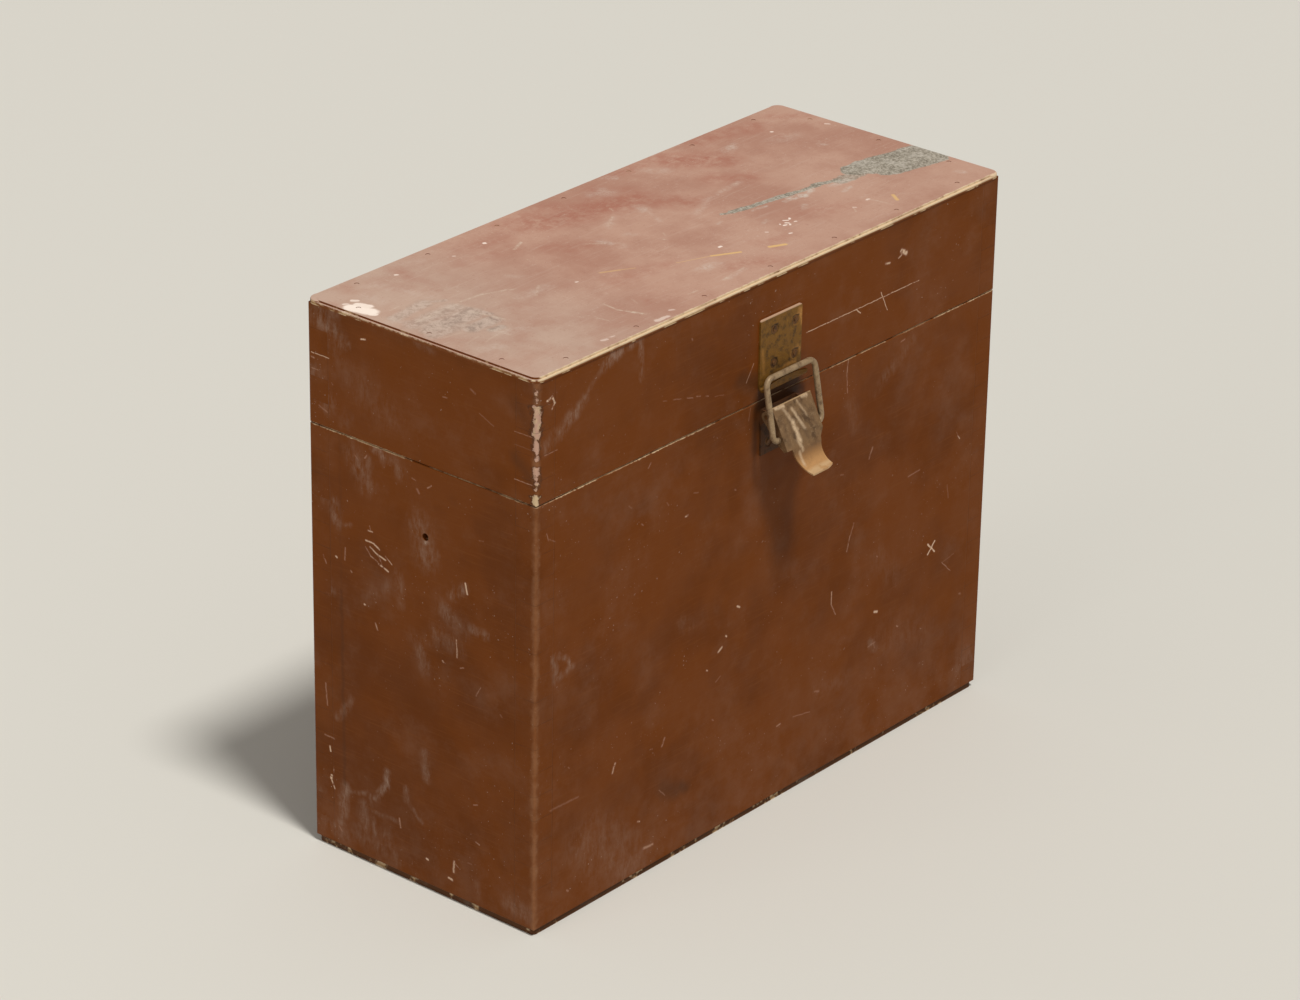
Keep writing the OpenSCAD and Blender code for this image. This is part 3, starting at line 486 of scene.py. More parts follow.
def pine(f, along):
    """Bare pine with its grain along x, y or z, and how dark its lines are."""
    squeeze = [1.0, 1.0, 1.0]
    squeeze["xyz".index(along)] = 0.035
    lines = f.noise(1.4, 4.0, f.stretch(*squeeze), seed=3.1, rough=0.6)
    bands = f.noise(11.0, 2.0, f.stretch(*squeeze), seed=5.2)
    wood = f.over((0.60, 0.41, 0.23), (0.42, 0.25, 0.11), f.fade(bands, 0.40, 0.66))
    wood = f.over(wood, (0.33, 0.19, 0.09), f.fade(lines, 0.52, 0.70), 0.6)
    wood = f.over(wood, (0.26, 0.20, 0.15), f.fade(f.noise(60, 3.0, seed=8.0), 0.50, 0.75, 0.0, 0.5))
    return wood, lines


def board_finish(name, along, front=(), left=(), front_smears=(), left_smears=(), seed=0.0):
    """The finish of one board, whose grain runs along x or y."""
    f = Finish(name, specular=0.09)
    from_x = f.inset(f.x, HALF_WIDTH)
    from_y = f.inset(f.y, HALF_DEPTH)
    arris = f.either(from_x, from_y)
    seam = f.math("ABSOLUTE", f.math("SUBTRACT", f.z, JOINT_Z))
    on_front = f.both(f.fade(f.y, 0.7 - HALF_DEPTH, 0.3 - HALF_DEPTH), f.fade(f.facing[1], -0.3, -0.6))
    on_left = f.both(f.fade(f.x, 0.7 - HALF_WIDTH, 0.3 - HALF_WIDTH), f.fade(f.facing[0], -0.3, -0.6))

    # ground coat, clouds and brush lines
    squeeze = (0.05, 1, 1) if along == "x" else (1, 0.05, 1)
    brush = f.noise(1.1, 3.0, f.stretch(*squeeze), seed=seed + 1)
    clouds = f.noise(85, 4.0, seed=2.7, rough=0.6)
    coat = f.over(PAINT_DARK, PAINT_BROWN, f.fade(clouds, 0.36, 0.56))
    coat = f.over(coat, PAINT_LIGHT, f.fade(brush, 0.50, 0.80, 0.0, 0.45))
    coat = f.over(coat, PAINT_DARK, f.fade(f.noise(22, 4.0, seed=4.4), 0.55, 0.78, 0.0, 0.55))

    # dust: a thin grey film, thicker low down, and specks
    film = f.fade(f.noise(34, 5.0, seed=6.1, rough=0.7), 0.46, 0.84, 0.0, 0.10)
    low = f.fade(f.z, 110, 0, 0.0, 0.07)
    settled = f.both(low, f.fade(f.noise(14, 5.0, seed=9.0, rough=0.7), 0.35, 0.7))
    coat = f.over(coat, DUST, f.either(film, settled))
    specks = f.fade(f.noise(1.5, 1.0, seed=seed + 12), 0.71, 0.78, 0.0, 0.35)
    coat = f.over(coat, CHALK, specks, f.fade(f.noise(45, 2.0, seed=13.0), 0.45, 0.62))

    # what the photograph shows on the front and on the left side
    ragged = f.fade(f.noise(1.8, 4.0, seed=15.0, rough=0.7), 0.30, 0.50)
    streaky = f.noise(3.6, 5.0, f.stretch(1, 1, 0.35), seed=16.0, rough=0.8)
    cloudy = f.both(f.fade(streaky, 0.36, 0.66),
                    f.fade(f.noise(13, 4.0, seed=17.0, rough=0.7), 0.30, 0.62, 0.25, 1.0))
    for lines, smears, flat, there in ((front, front_smears, f.join(f.x, f.z), on_front),
                                       (left, left_smears, f.join(f.y, f.z), on_left)):
        pale = [s for s in smears if s[5] > 0]
        dark = [(*s[:5], -s[5]) for s in smears if s[5] < 0]
        if pale:
            coat = f.over(coat, DUST, f.marks(f.wobble(flat, 9, 2.6), pale, 1.3), cloudy, there, 0.85)
        # dark marks: stains, and on the front boards painted shade round the latch
        if dark:
            coat = f.over(coat, DARK_STAIN_AND_SHADE, f.marks(f.wobble(flat, 9, 2), dark, 1.1), there)
        if lines:
            thin = tuple((*m[:4], 0.70 * m[4], m[5]) for m in lines)
            scratched = f.both(f.marks(f.wobble(flat, 4, 0.6), thin, 0.5), ragged, there)
            strong = f.over(SCRATCH_RED, SCRATCH_PALE, f.fade(scratched, 0.40, 0.75))
            coat = f.over(coat, strong, scratched)
    return f, coat, arris, seam, on_front, on_left


def finish_board(f, coat, arris, seam, on_front, on_left, along):
    """Worn edges, the joint of the lid and the bare inside, over the coat."""
    rough_edge = f.math("ADD", arris, f.ripple(9, 7, 5.0, seed=20.0, rough=0.7))
    near = f.both(f.fade(f.x, -190, -200), f.fade(f.y, -60, -75))
    in_lid = f.math("GREATER_THAN", f.z, JOINT_Z)
    jagged = f.math("ADD", arris, f.ripple(13, 4.0, 5.0, seed=20.5, rough=0.8))
    thin = f.fade(rough_edge, f.fade(near, 0, 1, -0.6, 0.5), f.fade(near, 0, 1, 0.7, 4.2), 1.0, 0.0)
    patchy = f.fade(f.noise(12, 4.0, seed=21.0, rough=0.7), 0.30, 0.65, 0.10, 0.42)
    coat = f.over(coat, THIN_PAINT, thin, patchy)
    bared = f.both(near, f.marks(f.wobble(f.join(f.z, 0.0), 5, 2.0, seed=5.0), arris_chips, 0.9))
    depth = f.fade(f.noise(9, 2.0, seed=20.8), 0.35, 0.62, 4.0, 6.2)
    reach = f.math("MULTIPLY_ADD", bared, depth, -2.6)
    chips = f.fade(f.math("SUBTRACT", jagged, reach), -0.3, 0.4, 1.0, 0.0)
    # a darker band round the chips near the front left corner
    chip_edge_band = f.fade(f.math("SUBTRACT", jagged, f.math("ADD", reach, 1.6)), -0.2, 1.2, 1.0, 0.0)
    coat = f.over(coat, CHIP_EDGE_DARK, chip_edge_band, bared, 0.55)
    pink = f.both(f.fade(f.z, 273, 280), f.fade(f.noise(5, 3.0, seed=21.7), 0.38, 0.50, 0.3, 1.0))
    chip_colour = f.over(CREAM_WOOD, CHIP_PINK, pink)
    coat = f.over(coat, chip_colour, chips)

    # the joint of the lid and the bottom edge
    along_seam = f.noise(38, 4.0, seed=22.0, rough=0.75)
    seam_edge = f.math("ADD", seam, f.ripple(1.6, 2.2, 4.0, seed=23.0))
    seen = f.either(f.both(on_front, f.marks(f.join(f.x, 0.0), seam_front, 0.5)),
                    f.both(on_left, f.marks(f.join(f.y, 0.0), seam_left, 0.5)))
    hidden = f.both(f.math("SUBTRACT", 1.0, f.either(on_front, on_left)),
                    f.fade(along_seam, 0.40, 0.55))
    rubbed = f.both(f.either(seen, hidden), f.fade(f.noise(3.5, 4.0, seed=25.0), 0.30, 0.46))
    coat = f.over(coat, CREAM_WOOD, f.fade(seam_edge, 0.35, 0.85, 1.0, 0.0), rubbed)
    foot = f.math("ADD", f.z, f.ripple(5, 4, 4.0, seed=24.0))
    shown = f.either(f.both(on_front, f.marks(f.join(f.x, 0.0), foot_front, 0.5)),
                     f.both(on_left, f.marks(f.join(f.y, 0.0), foot_left, 0.5)))
    bare_foot = f.both(f.either(shown, f.both(hidden, 0.7)),
                       f.fade(f.noise(7, 4.0, seed=27.0), 0.36, 0.50))
    coat = f.over(coat, CREAM_WOOD, f.fade(foot, 1.6, 3.4, 1.0, 0.0), bare_foot)

    # joint lines of the fingers, faint under the paint
    pitch = f.math("MULTIPLY_ADD", in_lid, LID_PITCH - CASE_PITCH, CASE_PITCH)
    count = f.math("DIVIDE", f.math("SUBTRACT", f.z, f.math("MULTIPLY", in_lid, LID_FOOT)), pitch)
    ridge = f.math("ABSOLUTE", f.math("SUBTRACT", f.math("FRACT", f.math("ADD", count, 0.5)), 0.5))
    line = f.both(f.fade(f.math("MULTIPLY", ridge, FINGER), 0.10, 0.45, 1.0, 0.0),
                  f.fade(arris, BOARD - 0.4, BOARD + 0.2, 1.0, 0.0))
    upright = f.fade(f.math("ABSOLUTE", f.math("SUBTRACT", arris, BOARD)), 0.10, 0.45, 1.0, 0.0)
    joints = f.either(line, upright)
    faint = f.fade(f.noise(16, 3.0, seed=26.0), 0.42, 0.62, 0.05, 0.30)
    coat = f.over(coat, JOINT_SHADE, joints, faint)

    # bare wood inside and on the rims
    wood = pine(f, along)[0]
    level = f.fade(f.math("ABSOLUTE", f.facing[2]), 0.80, 0.95)
    outer = f.math("MINIMUM", f.inset(f.x, HALF_WIDTH), f.inset(f.y, HALF_DEPTH))
    inner = f.fade(outer, BOARD - 0.7, BOARD - 0.3)
    drips = f.fade(f.math("ADD", outer, f.math("MULTIPLY", f.noise(9, 3.0, seed=30.0), -6)), -1.6, -0.4)
    bare = f.either(inner, f.both(level, drips))
    skin = f.over(coat, wood, bare)
    f.colour(skin)
    gloss = f.fade(f.noise(30, 4.0, seed=31.0), 0.35, 0.70, 0.46, 0.66)
    f.roughness(f.either(gloss, f.math("MULTIPLY", f.either(bare, chips), 0.85)))
    squeeze = (0.06, 1, 1) if along == "x" else (1, 0.06, 1)
    relief = f.math("ADD", f.math("MULTIPLY", f.noise(1.6, 2.0, f.stretch(*squeeze), seed=33.0), 0.35),
                    f.math("MULTIPLY", f.noise(5, 3.0, seed=34.0), 0.5))
    relief = f.math("SUBTRACT", relief, f.math("MULTIPLY", joints, 0.35))
    relief = f.math("SUBTRACT", relief, f.math("MULTIPLY", chips, 0.8))
    f.bump(relief, 0.22)
    return f


def near_left(lines):
    return [m for m in lines if min(m[0], m[2]) < -188]


def near_front(lines):
    return [m for m in lines if min(m[0], m[2]) < -66]


def paint_board(node, along, seed, **marks):
    f, coat, *places = board_finish(node, along, seed=seed, **marks)
    dress(node, finish_board(f, coat, *places, along))


paint_board("lid_front_board", "x", 0.0, front=lid_front_scratches, front_smears=lid_front_smears,
            left=near_front(lid_left_scratches), left_smears=near_front(lid_left_smears))
paint_board("lid_left_board", "y", 0.0, front=near_left(lid_front_scratches),
            front_smears=near_left(lid_front_smears), left=lid_left_scratches, left_smears=lid_left_smears)
paint_board("body_front_board", "x", 0.0, front=body_front_scratches + white_star,
            front_smears=body_front_smears, left=near_front(body_left_scratches),
            left_smears=near_front(body_left_smears))
paint_board("body_left_board", "y", 0.0, front=near_left(body_front_scratches),
            front_smears=near_left(body_front_smears), left=body_left_scratches + body_left_orange,
            left_smears=body_left_smears + halo + [(*m[:5], -0.4 * m[5]) for m in left_dark_line])
for place, along in (("back", "x"), ("right", "y")):
    paint_board("lid_" + place + "_board", along, 5.0)
    paint_board("body_" + place + "_board", along, 7.0)
print("eight boards are painted")

# %% [markdown]
# ## The top panel
#
# The lid's top is a thin plywood panel. It catches the light and the dust, so its paint has faded to a
# pinkish tan with redder clouds; that tan is also made paler than the paint itself as painted sheen, where
# the top reflects the sky. Along its edges it is worn down to the pale wood. Near the right end
# something stuck to it and was peeled off, which left a dark grey-green band; near the left end there is a
# grey scuffed patch and a white spill. These places are drawn as wide soft lines whose edges are broken up
# by noise.

# %% Marks on the top
top_scratches = [
    (-155.4, 17.3, -138.9, 15.5, 1.8, 0.55), (-138.9, 15.5, -121, 6.9, 1.3, 0.5),
    (-104.6, -43.8, -105.8, -54.2, 1.4, 0.6), (-105.8, -54.2, -102.8, -63.2, 1.6, 0.65),
    (-102.8, -63.2, -99.8, -69.4, 2.2, 0.75), (-89, -50.7, -91.4, -56.6, 1, 0.35),
    (-121, -8, -109.1, 0.9, 1.5, 0.3), (-78.3, 46.5, -67.8, 50.7, 2, 0.75),
    (-9.6, -6.6, -8.4, -7.5, 1.6, 0.6), (-4.8, -4.2, -2.1, 0, 1, 0.45), (98.6, -61.7, 102.2, -57.2, 1, 0.4),
    (-62.7, -69.1, -55, -69.4, 1.5, 0.45), (-194.2, 15.8, -180.8, 16.1, 1.4, 0.5),
    (-180.8, 17.3, -158.4, 16.4, 1, 0.4), (-32.9, -70.6, -29.3, -70, 2, 0.7),
    (-28.4, -69.4, -11.4, -67.1, 1.2, 0.4), (-122.5, -54.2, -120.7, -60.2, 1.2, 0.35),
    (119.5, -54.2, 122.5, -70.6, 1.4, 0.3), (6, 47.1, 4.5, 44.1, 1.5, 0.35),
    (-14.9, 30.7, -3, 37.3, 1.6, 0.35), (-44.8, 21.8, -37.3, 14.3, 1.8, 0.35),
    (85.2, 18.8, 86.7, 17.3, 1, 0.5), (-161.4, 2.4, -157.8, -17, 1.6, 0.5),
    (-174.8, -18.5, -171.8, -33.4, 1.5, 0.4), (-201.7, -9.5, -185.3, -12.5, 1.5, 0.35),
    (-197.2, -24.4, -185.3, -23, 1.2, 0.35), (-188.2, -30.4, -162.8, -27.4, 1.3, 0.3),
    (-191.2, 37.6, -183.8, 38.2, 1.2, 0.4), (-134.5, 63.5, -125.5, 65, 1, 0.2),
]
top_specks = [
    (-83.1, 65.3, -82.2, 64.7, 1.8, 0.95), (167, 56.6, 167.6, 56.3, 1.8, 0.9), (3, -37.6, 4.5, -37.6, 2, 0.9),
    (46.3, -54.2, 47.2, -54.5, 1.6, 0.8), (53.8, -44.1, 55.6, -44.7, 1.3, 0.95),
    (57.4, -42.3, 58.6, -44.1, 1.3, 0.95), (59.8, -39.3, 61.6, -41.1, 1.4, 0.95),
    (63.6, -40.2, 64.8, -39.3, 1.3, 0.9), (62.7, -44.7, 63.9, -45.3, 1.2, 0.85),
    (56.8, -46.2, 58, -45.6, 1.2, 0.8), (53.5, -41.7, 54.1, -41.1, 1, 0.8),
    (-91.1, -11.6, -90.5, -11.9, 1.6, 0.6), (-151.5, 70.3, -150.6, 69.7, 1.8, 0.7),
    (-144, -76.6, -141, -77.2, 2.2, 0.4), (-86.7, -76.3, -84.9, -77.5, 2.2, 0.4),
    (-103.1, -80.5, -94.1, -81.1, 2.8, 0.45), (-137.4, -76.6, -134.5, -76.9, 1.2, 0.4),
    (118, -54.8, 119.5, -54.8, 1.4, 0.6), (103.1, -56.3, 104.3, -57.2, 1.2, 0.5),
    (38.2, -42.9, 39.4, -43.5, 1.1, 0.5), (-109.1, 65, -108.5, 64.4, 1.2, 0.5),
    (200.2, 41.1, 201.4, 39.3, 1.6, 0.5),
]
top_gouges = [
    (-31.4, -34.9, -10.2, -42.9, 0.7, 0.5), (-10.2, -42.9, 5.4, -51.3, 1.9, 0.95),
    (22.7, -58.7, 31.7, -62.9, 2.6, 0.95), (134.5, -61.4, 130, -68, 2.2, 0.85),
    (-71.7, -12.5, -61.3, -17.9, 1.8, 0.45), (-61.3, -17.9, -53.2, -22.4, 1.2, 0.35),
]
top_patches = [
    (14.9, 69.4, 25.4, 62, 8, 0.45), (25.4, 70.9, 23.9, 65, 6, 0.35), (41.8, 81.4, 44.8, 76.9, 6, 0.45),
    (19.4, 36.7, 17.9, 30.7, 6, 0.6), (17.3, 32.2, 14.9, 20.3, 3, 0.3), (9, 11.3, 14.9, 20.3, 3, 0.25),
    (68.7, 68, 74.7, 63.5, 8, 0.35), (64.2, 75.4, 65.7, 70.9, 4, 0.25), (124, 56.6, 134.5, 58.4, 6, 0.65),
    (-35.9, 18.8, -32.9, 3.9, 5, 0.45), (-17.9, 14.3, -14.9, 11.3, 5, 0.3),
    (-28.4, -50.7, -17.9, -53.6, 7, 0.55), (-31.4, -71.5, -11.4, -68.6, 3, 0.4),
    (170.9, 22.7, 172.1, 18.8, 3, 0.45), (190.6, -65.6, 191.8, -69.1, 3.5, 0.6),
    (155.4, 47.1, 173.3, 41.1, 9, 0.25), (32.9, 4.8, 53.8, 13.7, 4, 0.35), (53.8, 13.7, 89.6, 18.2, 4, 0.35),
    (-17.9, 29.2, -1.5, 36.7, 4, 0.35), (-185.3, 62, -183.8, 50.1, 8, 0.3),
    (-170.3, 68, -159.9, 35.2, 9, 0.25), (-141.9, 79.9, -125.5, 73.9, 6, 0.2),
    (-203.2, 26.2, -197.2, 20.3, 5, 0.35), (-197.2, -36.4, -188.2, -39.3, 8, 0.35),
    (-173.3, -27.4, -159.9, -33.4, 8, 0.35), (-128.5, -3.6, -104.6, -3.6, 6, 0.3),
    (-110.6, 23.2, -104.6, 14.3, 4, 0.25), (161.4, -27.4, 164.3, -30.4, 4, 0.2),
]
top_blob = [
    (-202.6, 56, -199.6, 44.1, 9, 1), (-197.2, 56.6, -194.8, 50.1, 5, 0.9),
    (-202.6, 42.6, -200.8, 39.3, 3, 0.9), (-194.8, 62.6, -193, 60.8, 2.5, 0.7),
    (-201.7, 62.6, -200.2, 60.8, 2, 0.6),
]
top_grey = [
    (-197.2, 27.7, -170.3, 30.7, 8, 0.6), (-197.2, 14.3, -164.3, 14.3, 12, 0.5),
    (-194.2, 2.4, -164.3, 2.4, 14, 0.8), (-179.3, -12.5, -162.8, -12.5, 9, 0.9),
    (-159.9, 8.3, -157.8, -6.6, 4, 0.6), (-201.7, -3.6, -179.3, -6.6, 9, 0.45),
    (-173.3, -21.5, -167.3, -23, 5, 0.8), (-167.3, 29.2, -159.9, 24.7, 4, 0.4),
]
band_thin = [
    (42.7, -6.6, 49.3, -9.5, 2.4, 0.9), (49.3, -8.9, 71.7, -12.5, 4.4, 1), (71.7, -12.5, 95.6, -16.1, 5, 1),
    (95.6, -16.1, 116.5, -19.1, 3.8, 1), (116.5, -17.3, 131.5, -23, 4.5, 1),
    (131.5, -24.4, 149.4, -25, 10, 0.75),
]
band_wide = [
    (150.9, -20, 161.4, -21.5, 17, 1), (161.4, -23, 182.3, -27.4, 23, 1), (182.3, -28.9, 201.7, -31, 24, 1),
    (188.2, -39.3, 200.2, -42.3, 17, 1), (164.3, -33.4, 188.2, -39.3, 18, 1),
]
band_pale = [
    (59.8, -16.1, 70.2, -17.9, 2.2, 0.6), (83.7, -20.9, 97.1, -23, 3, 0.8),
    (97.1, -23.8, 109.1, -20.9, 3.6, 0.9), (88.1, -19.1, 98.6, -20.9, 2.4, 0.8),
    (122.5, -25.9, 137.4, -27.4, 5, 0.5), (48.4, -33.4, 53.8, -31, 2.4, 0.45),
    (82.2, -35.8, 88.1, -32.8, 3, 0.4), (119.5, -36.4, 127, -34.6, 4, 0.45),
    (29.9, -14.6, 33.5, -13.7, 2, 0.3), (152.4, -25.9, 159.9, -27.4, 5, 0.35),
    (174.8, -39.3, 177.8, -40.8, 2.4, 0.9), (194.2, -20.9, 206.2, -20.9, 2.4, 0.5),
]
top_reds = [
    (-38.8, 62, 26.9, 47.1, 26, 0.8), (26.9, 41.1, 44.8, 20.3, 20, 0.6), (86.7, 73.9, 110.6, 53.1, 22, 0.8),
    (83.7, 32.2, 98.6, 20.3, 16, 0.6), (-149.4, 73.9, -145.8, 50.1, 8, 0.6),
    (-110.6, 53.1, -80.7, 44.1, 12, 0.35), (-62.7, 35.2, -44.8, 20.3, 12, 0.4),
    (-14.9, -60.2, 14.9, -75.1, 14, 0.5), (-74.7, -27.4, -32.9, -33.4, 14, 0.35),
    (-143.4, -9.5, -128.5, -21.5, 12, 0.4), (122.5, 79.9, 164.3, 70.9, 16, 0.6),
    (188.2, 73.9, 203.2, 56, 10, 0.4), (44.8, 82.9, 80.7, 79.9, 10, 0.5),
    (71.7, -39.3, 104.6, -51.3, 16, 0.35), (-98.6, 68, -68.7, 62, 14, 0.35),
    (-56.8, 73.9, -14.9, 73.9, 16, 0.5),
]
print("marks on the top:", len(top_scratches) + len(top_specks) + len(top_patches))

# %% Paint the top panel
# the top's ground colours: faded dusty paint, lightened in part as painted sheen where the top reflects the
# sky
TOP_ROSE = (0.425, 0.218, 0.150)
TOP_TAN = (0.510, 0.300, 0.215)
TOP_RED = (0.365, 0.128, 0.080)
TOP_DUST = (0.53, 0.40, 0.31)
PALE_GRIT = (0.66, 0.52, 0.42)
DARK_GRIT = (0.30, 0.12, 0.075)
BRUSHED = (0.58, 0.42, 0.33)
PATCH = (0.62, 0.50, 0.41)
SCUFF_DARK = (0.24, 0.19, 0.155)
SCUFF_PALE = (0.62, 0.53, 0.44)
TOP_SCRATCH = (0.66, 0.53, 0.40)
GLUE_DARK = (0.175, 0.145, 0.105)
GLUE_GREY = (0.50, 0.44, 0.35)
GLUE_PALE = (0.54, 0.48, 0.40)
PAPER = (0.62, 0.55, 0.46)
GOUGE = (0.70, 0.44, 0.18)
SPILL = (0.93, 0.78, 0.66)
WORN_PLY = (0.72, 0.55, 0.35)


def ply_edge(f, low, high):
    """Plywood seen from its edge: plies light and dark in turn, each with fine lines."""
    level = f.math("MULTIPLY", f.math("DIVIDE", f.math("SUBTRACT", f.z, low), high - low), PLIES / 2)
    stripe = f.fade(f.math("ABSOLUTE", f.math("SUBTRACT", f.math("FRACT", level), 0.5)), 0.22, 0.28)
    wood = f.over((0.40, 0.24, 0.11), (0.66, 0.49, 0.29), stripe)
    fibres = f.noise(0.9, 2.0, f.stretch(0.15, 0.15, 1), seed=41.0)
    return f.over(wood, (0.30, 0.18, 0.09), f.fade(fibres, 0.5, 0.75, 0.0, 0.6))


def top_paint(name):
    f = Finish(name, specular=0.15)
    flat = f.join(f.x, f.y)
    shaken = f.wobble(flat, 7, 1.6, seed=1.0)
    loose = f.wobble(flat, 26, 9.0, seed=2.0)
    clouds = f.noise(60, 5.0, seed=42.0, rough=0.65)
    fine = f.noise(6, 5.0, seed=43.0, rough=0.75)
    # ground coat, partly painted sheen
    coat = f.over(TOP_ROSE, TOP_TAN, f.fade(clouds, 0.36, 0.62))
    reds = f.either(f.marks(loose, top_reds, 0.9),
                    f.fade(f.noise(38, 4.0, seed=44.0), 0.58, 0.75, 0.0, 0.5))
    coat = f.over(coat, TOP_RED, reds, f.fade(fine, 0.30, 0.62), 0.92)
    left_end = f.both(f.fade(f.x, -60, -170), f.fade(f.noise(30, 4.0, seed=45.0), 0.30, 0.60, 0.3, 1.0))
    coat = f.over(coat, TOP_DUST, left_end, 0.55)
    dusty = f.fade(f.noise(24, 4.0, seed=45.5, rough=0.65), 0.35, 0.65, 0.25, 1.0)
    pale_grit = f.fade(f.noise(1.7, 5.0, seed=46.0, rough=0.85), 0.54, 0.72, 0.0, 0.65)
    coat = f.over(coat, PALE_GRIT, pale_grit, dusty)
    dark_grit = f.fade(f.noise(1.5, 4.0, seed=47.0, rough=0.85), 0.55, 0.74, 0.0, 0.60)
    coat = f.over(coat, DARK_GRIT, dark_grit)
    brush = f.noise(1.3, 3.0, f.stretch(0.05, 1, 1), seed=48.0)
    coat = f.over(coat, BRUSHED, f.fade(brush, 0.52, 0.80, 0.0, 0.30))

    broken = f.both(f.fade(fine, 0.34, 0.60),
                    f.fade(f.noise(1.6, 4.0, seed=48.5, rough=0.8), 0.34, 0.56))
    coat = f.over(coat, PATCH, f.marks(shaken, top_patches, 1.0), broken)
    stirred = f.wobble(f.join(f.x, f.y, f.z), 18, 8, seed=4.0)
    swirl = f.fade(f.noise(5, 5.0, stirred, seed=48.7, rough=0.8), 0.40, 0.60)
    scuffed = f.marks(shaken, top_grey, 0.8)
    coat = f.over(coat, SCUFF_DARK, scuffed, swirl, 0.75)
    between = f.math("SUBTRACT", 1.0, swirl)
    coat = f.over(coat, SCUFF_PALE, f.fade(scuffed, 0.1, 0.5), between, 0.40)
    scratched = f.marks(f.wobble(flat, 6, 1.0), top_scratches, 0.5)
    coat = f.over(coat, TOP_SCRATCH, scratched, broken)
    ragged = f.wobble(flat, 5, 2.2, seed=3.0)
    band = f.either(f.marks(ragged, band_thin, 0.12), f.marks(ragged, band_wide, 0.05))
    grit = f.noise(1.6, 4.0, seed=49.0, rough=0.8)
    peeled = f.over(GLUE_DARK, GLUE_GREY, f.fade(grit, 0.36, 0.66))
    peeled = f.over(peeled, GLUE_PALE,
                    f.fade(f.noise(11, 4.0, seed=50.0, rough=0.7), 0.48, 0.68, 0.0, 0.7))
    coat = f.over(coat, peeled, band)
    coat = f.over(coat, PAPER, f.marks(ragged, band_pale, 0.7), broken)
    coat = f.over(coat, GOUGE, f.marks(f.wobble(flat, 3, 0.4), top_gouges, 0.3))
    blob = f.marks(f.wobble(flat, 4, 1.2), top_blob + top_specks, 0.25)
    coat = f.over(coat, SPILL, blob)

    # edges worn to the wood: all along the front, here and there elsewhere
    inset = f.math("MINIMUM", f.inset(f.x, HALF_WIDTH + TOP_LIP), f.inset(f.y, HALF_DEPTH + TOP_LIP))
    front = f.fade(f.y, -80, -83.5)
    ragged_edge = f.math("ADD", inset, f.ripple(3.4, 5, 5.0, seed=51.0, rough=0.7))
    worn = f.fade(ragged_edge, f.fade(front, 0, 1, -0.6, 1.1), f.fade(front, 0, 1, 0.3, 2.1), 1.0, 0.0)
    broken_edge = f.fade(f.noise(30, 4.0, seed=52.0), 0.30, 0.50)
    worn = f.both(worn, f.either(broken_edge, f.both(front, 0.75)),
                  f.fade(f.z, TOP_Z - 2.4, TOP_Z - 1.4))
    side = f.fade(f.math("ABSOLUTE", f.facing[2]), 0.30, 0.55, 1.0, 0.0)
    brown = f.over(PAINT_BROWN, PAINT_LIGHT, f.fade(fine, 0.4, 0.7))
    brown = f.over(brown, ply_edge(f, TOP_Z - 3.0, TOP_Z),
                   f.fade(f.noise(12, 4.0, seed=53.0), 0.52, 0.60), 0.8)
    coat = f.over(coat, brown, side)
    coat = f.over(coat, WORN_PLY, worn)
    under = f.fade(f.facing[2], -0.5, -0.8)
    coat = f.over(coat, pine(f, "x")[0], under)
    f.colour(coat)
    f.roughness(f.fade(clouds, 0.35, 0.65, 0.50, 0.68))
    relief = f.math("ADD", f.math("MULTIPLY", f.noise(2.0, 3.0, f.stretch(0.12, 1, 1), seed=54.0), 0.4),
                    f.math("MULTIPLY", f.noise(9, 3.0, seed=55.0), 0.6))
    f.bump(f.math("SUBTRACT", relief, f.math("MULTIPLY", worn, 0.8)), 0.20)
    return f


top_finish = top_paint("top panel paint")
dress("top_panel", top_finish)
dress("top_brads", top_finish)
print("the top is painted")

# %% [markdown]
# ## The bottom panel
#
# The bottom is a plywood panel nailed on from below. Only its edges got paint, with the sides, and that
# edge colour is darker than the boards as painted shade under the box. Its face shows bare veneer, yellowed
# and dirty, just clear of the ground. The brads that hold it have small steel heads.

# %% Finish the bottom
bottom = Finish("bottom plywood", specular=0.2)
veneer, veneer_lines = pine(bottom, "x")
edge_on = bottom.fade(bottom.math("ABSOLUTE", bottom.facing[2]), 0.5, 0.8, 1.0, 0.0)
# the panel's painted edge, kept dark as painted shade under the box
shaded_brown_edge = bottom.over((0.060, 0.024, 0.008), (0.110, 0.040, 0.012), bottom.noise(6, 4.0, seed=60.0))
knocked = bottom.fade(bottom.noise(16, 4.0, seed=60.5, rough=0.7), 0.56, 0.64, 0.0, 0.8)
veneer = bottom.over(veneer, bottom.over(shaded_brown_edge, ply_edge(bottom, 0.0, 4.0), knocked), edge_on)
dirt = bottom.fade(bottom.noise(18, 5.0, seed=61.0, rough=0.7), 0.50, 0.80, 0.0, 0.65)
veneer = bottom.over(veneer, (0.13, 0.10, 0.075), dirt)
bottom.colour(veneer)
bottom.roughness(bottom.fade(veneer_lines, 0.3, 0.7, 0.72, 0.88))
bottom.bump(veneer_lines, 0.15)
dress("bottom_panel", bottom)
print("the bottom is finished")
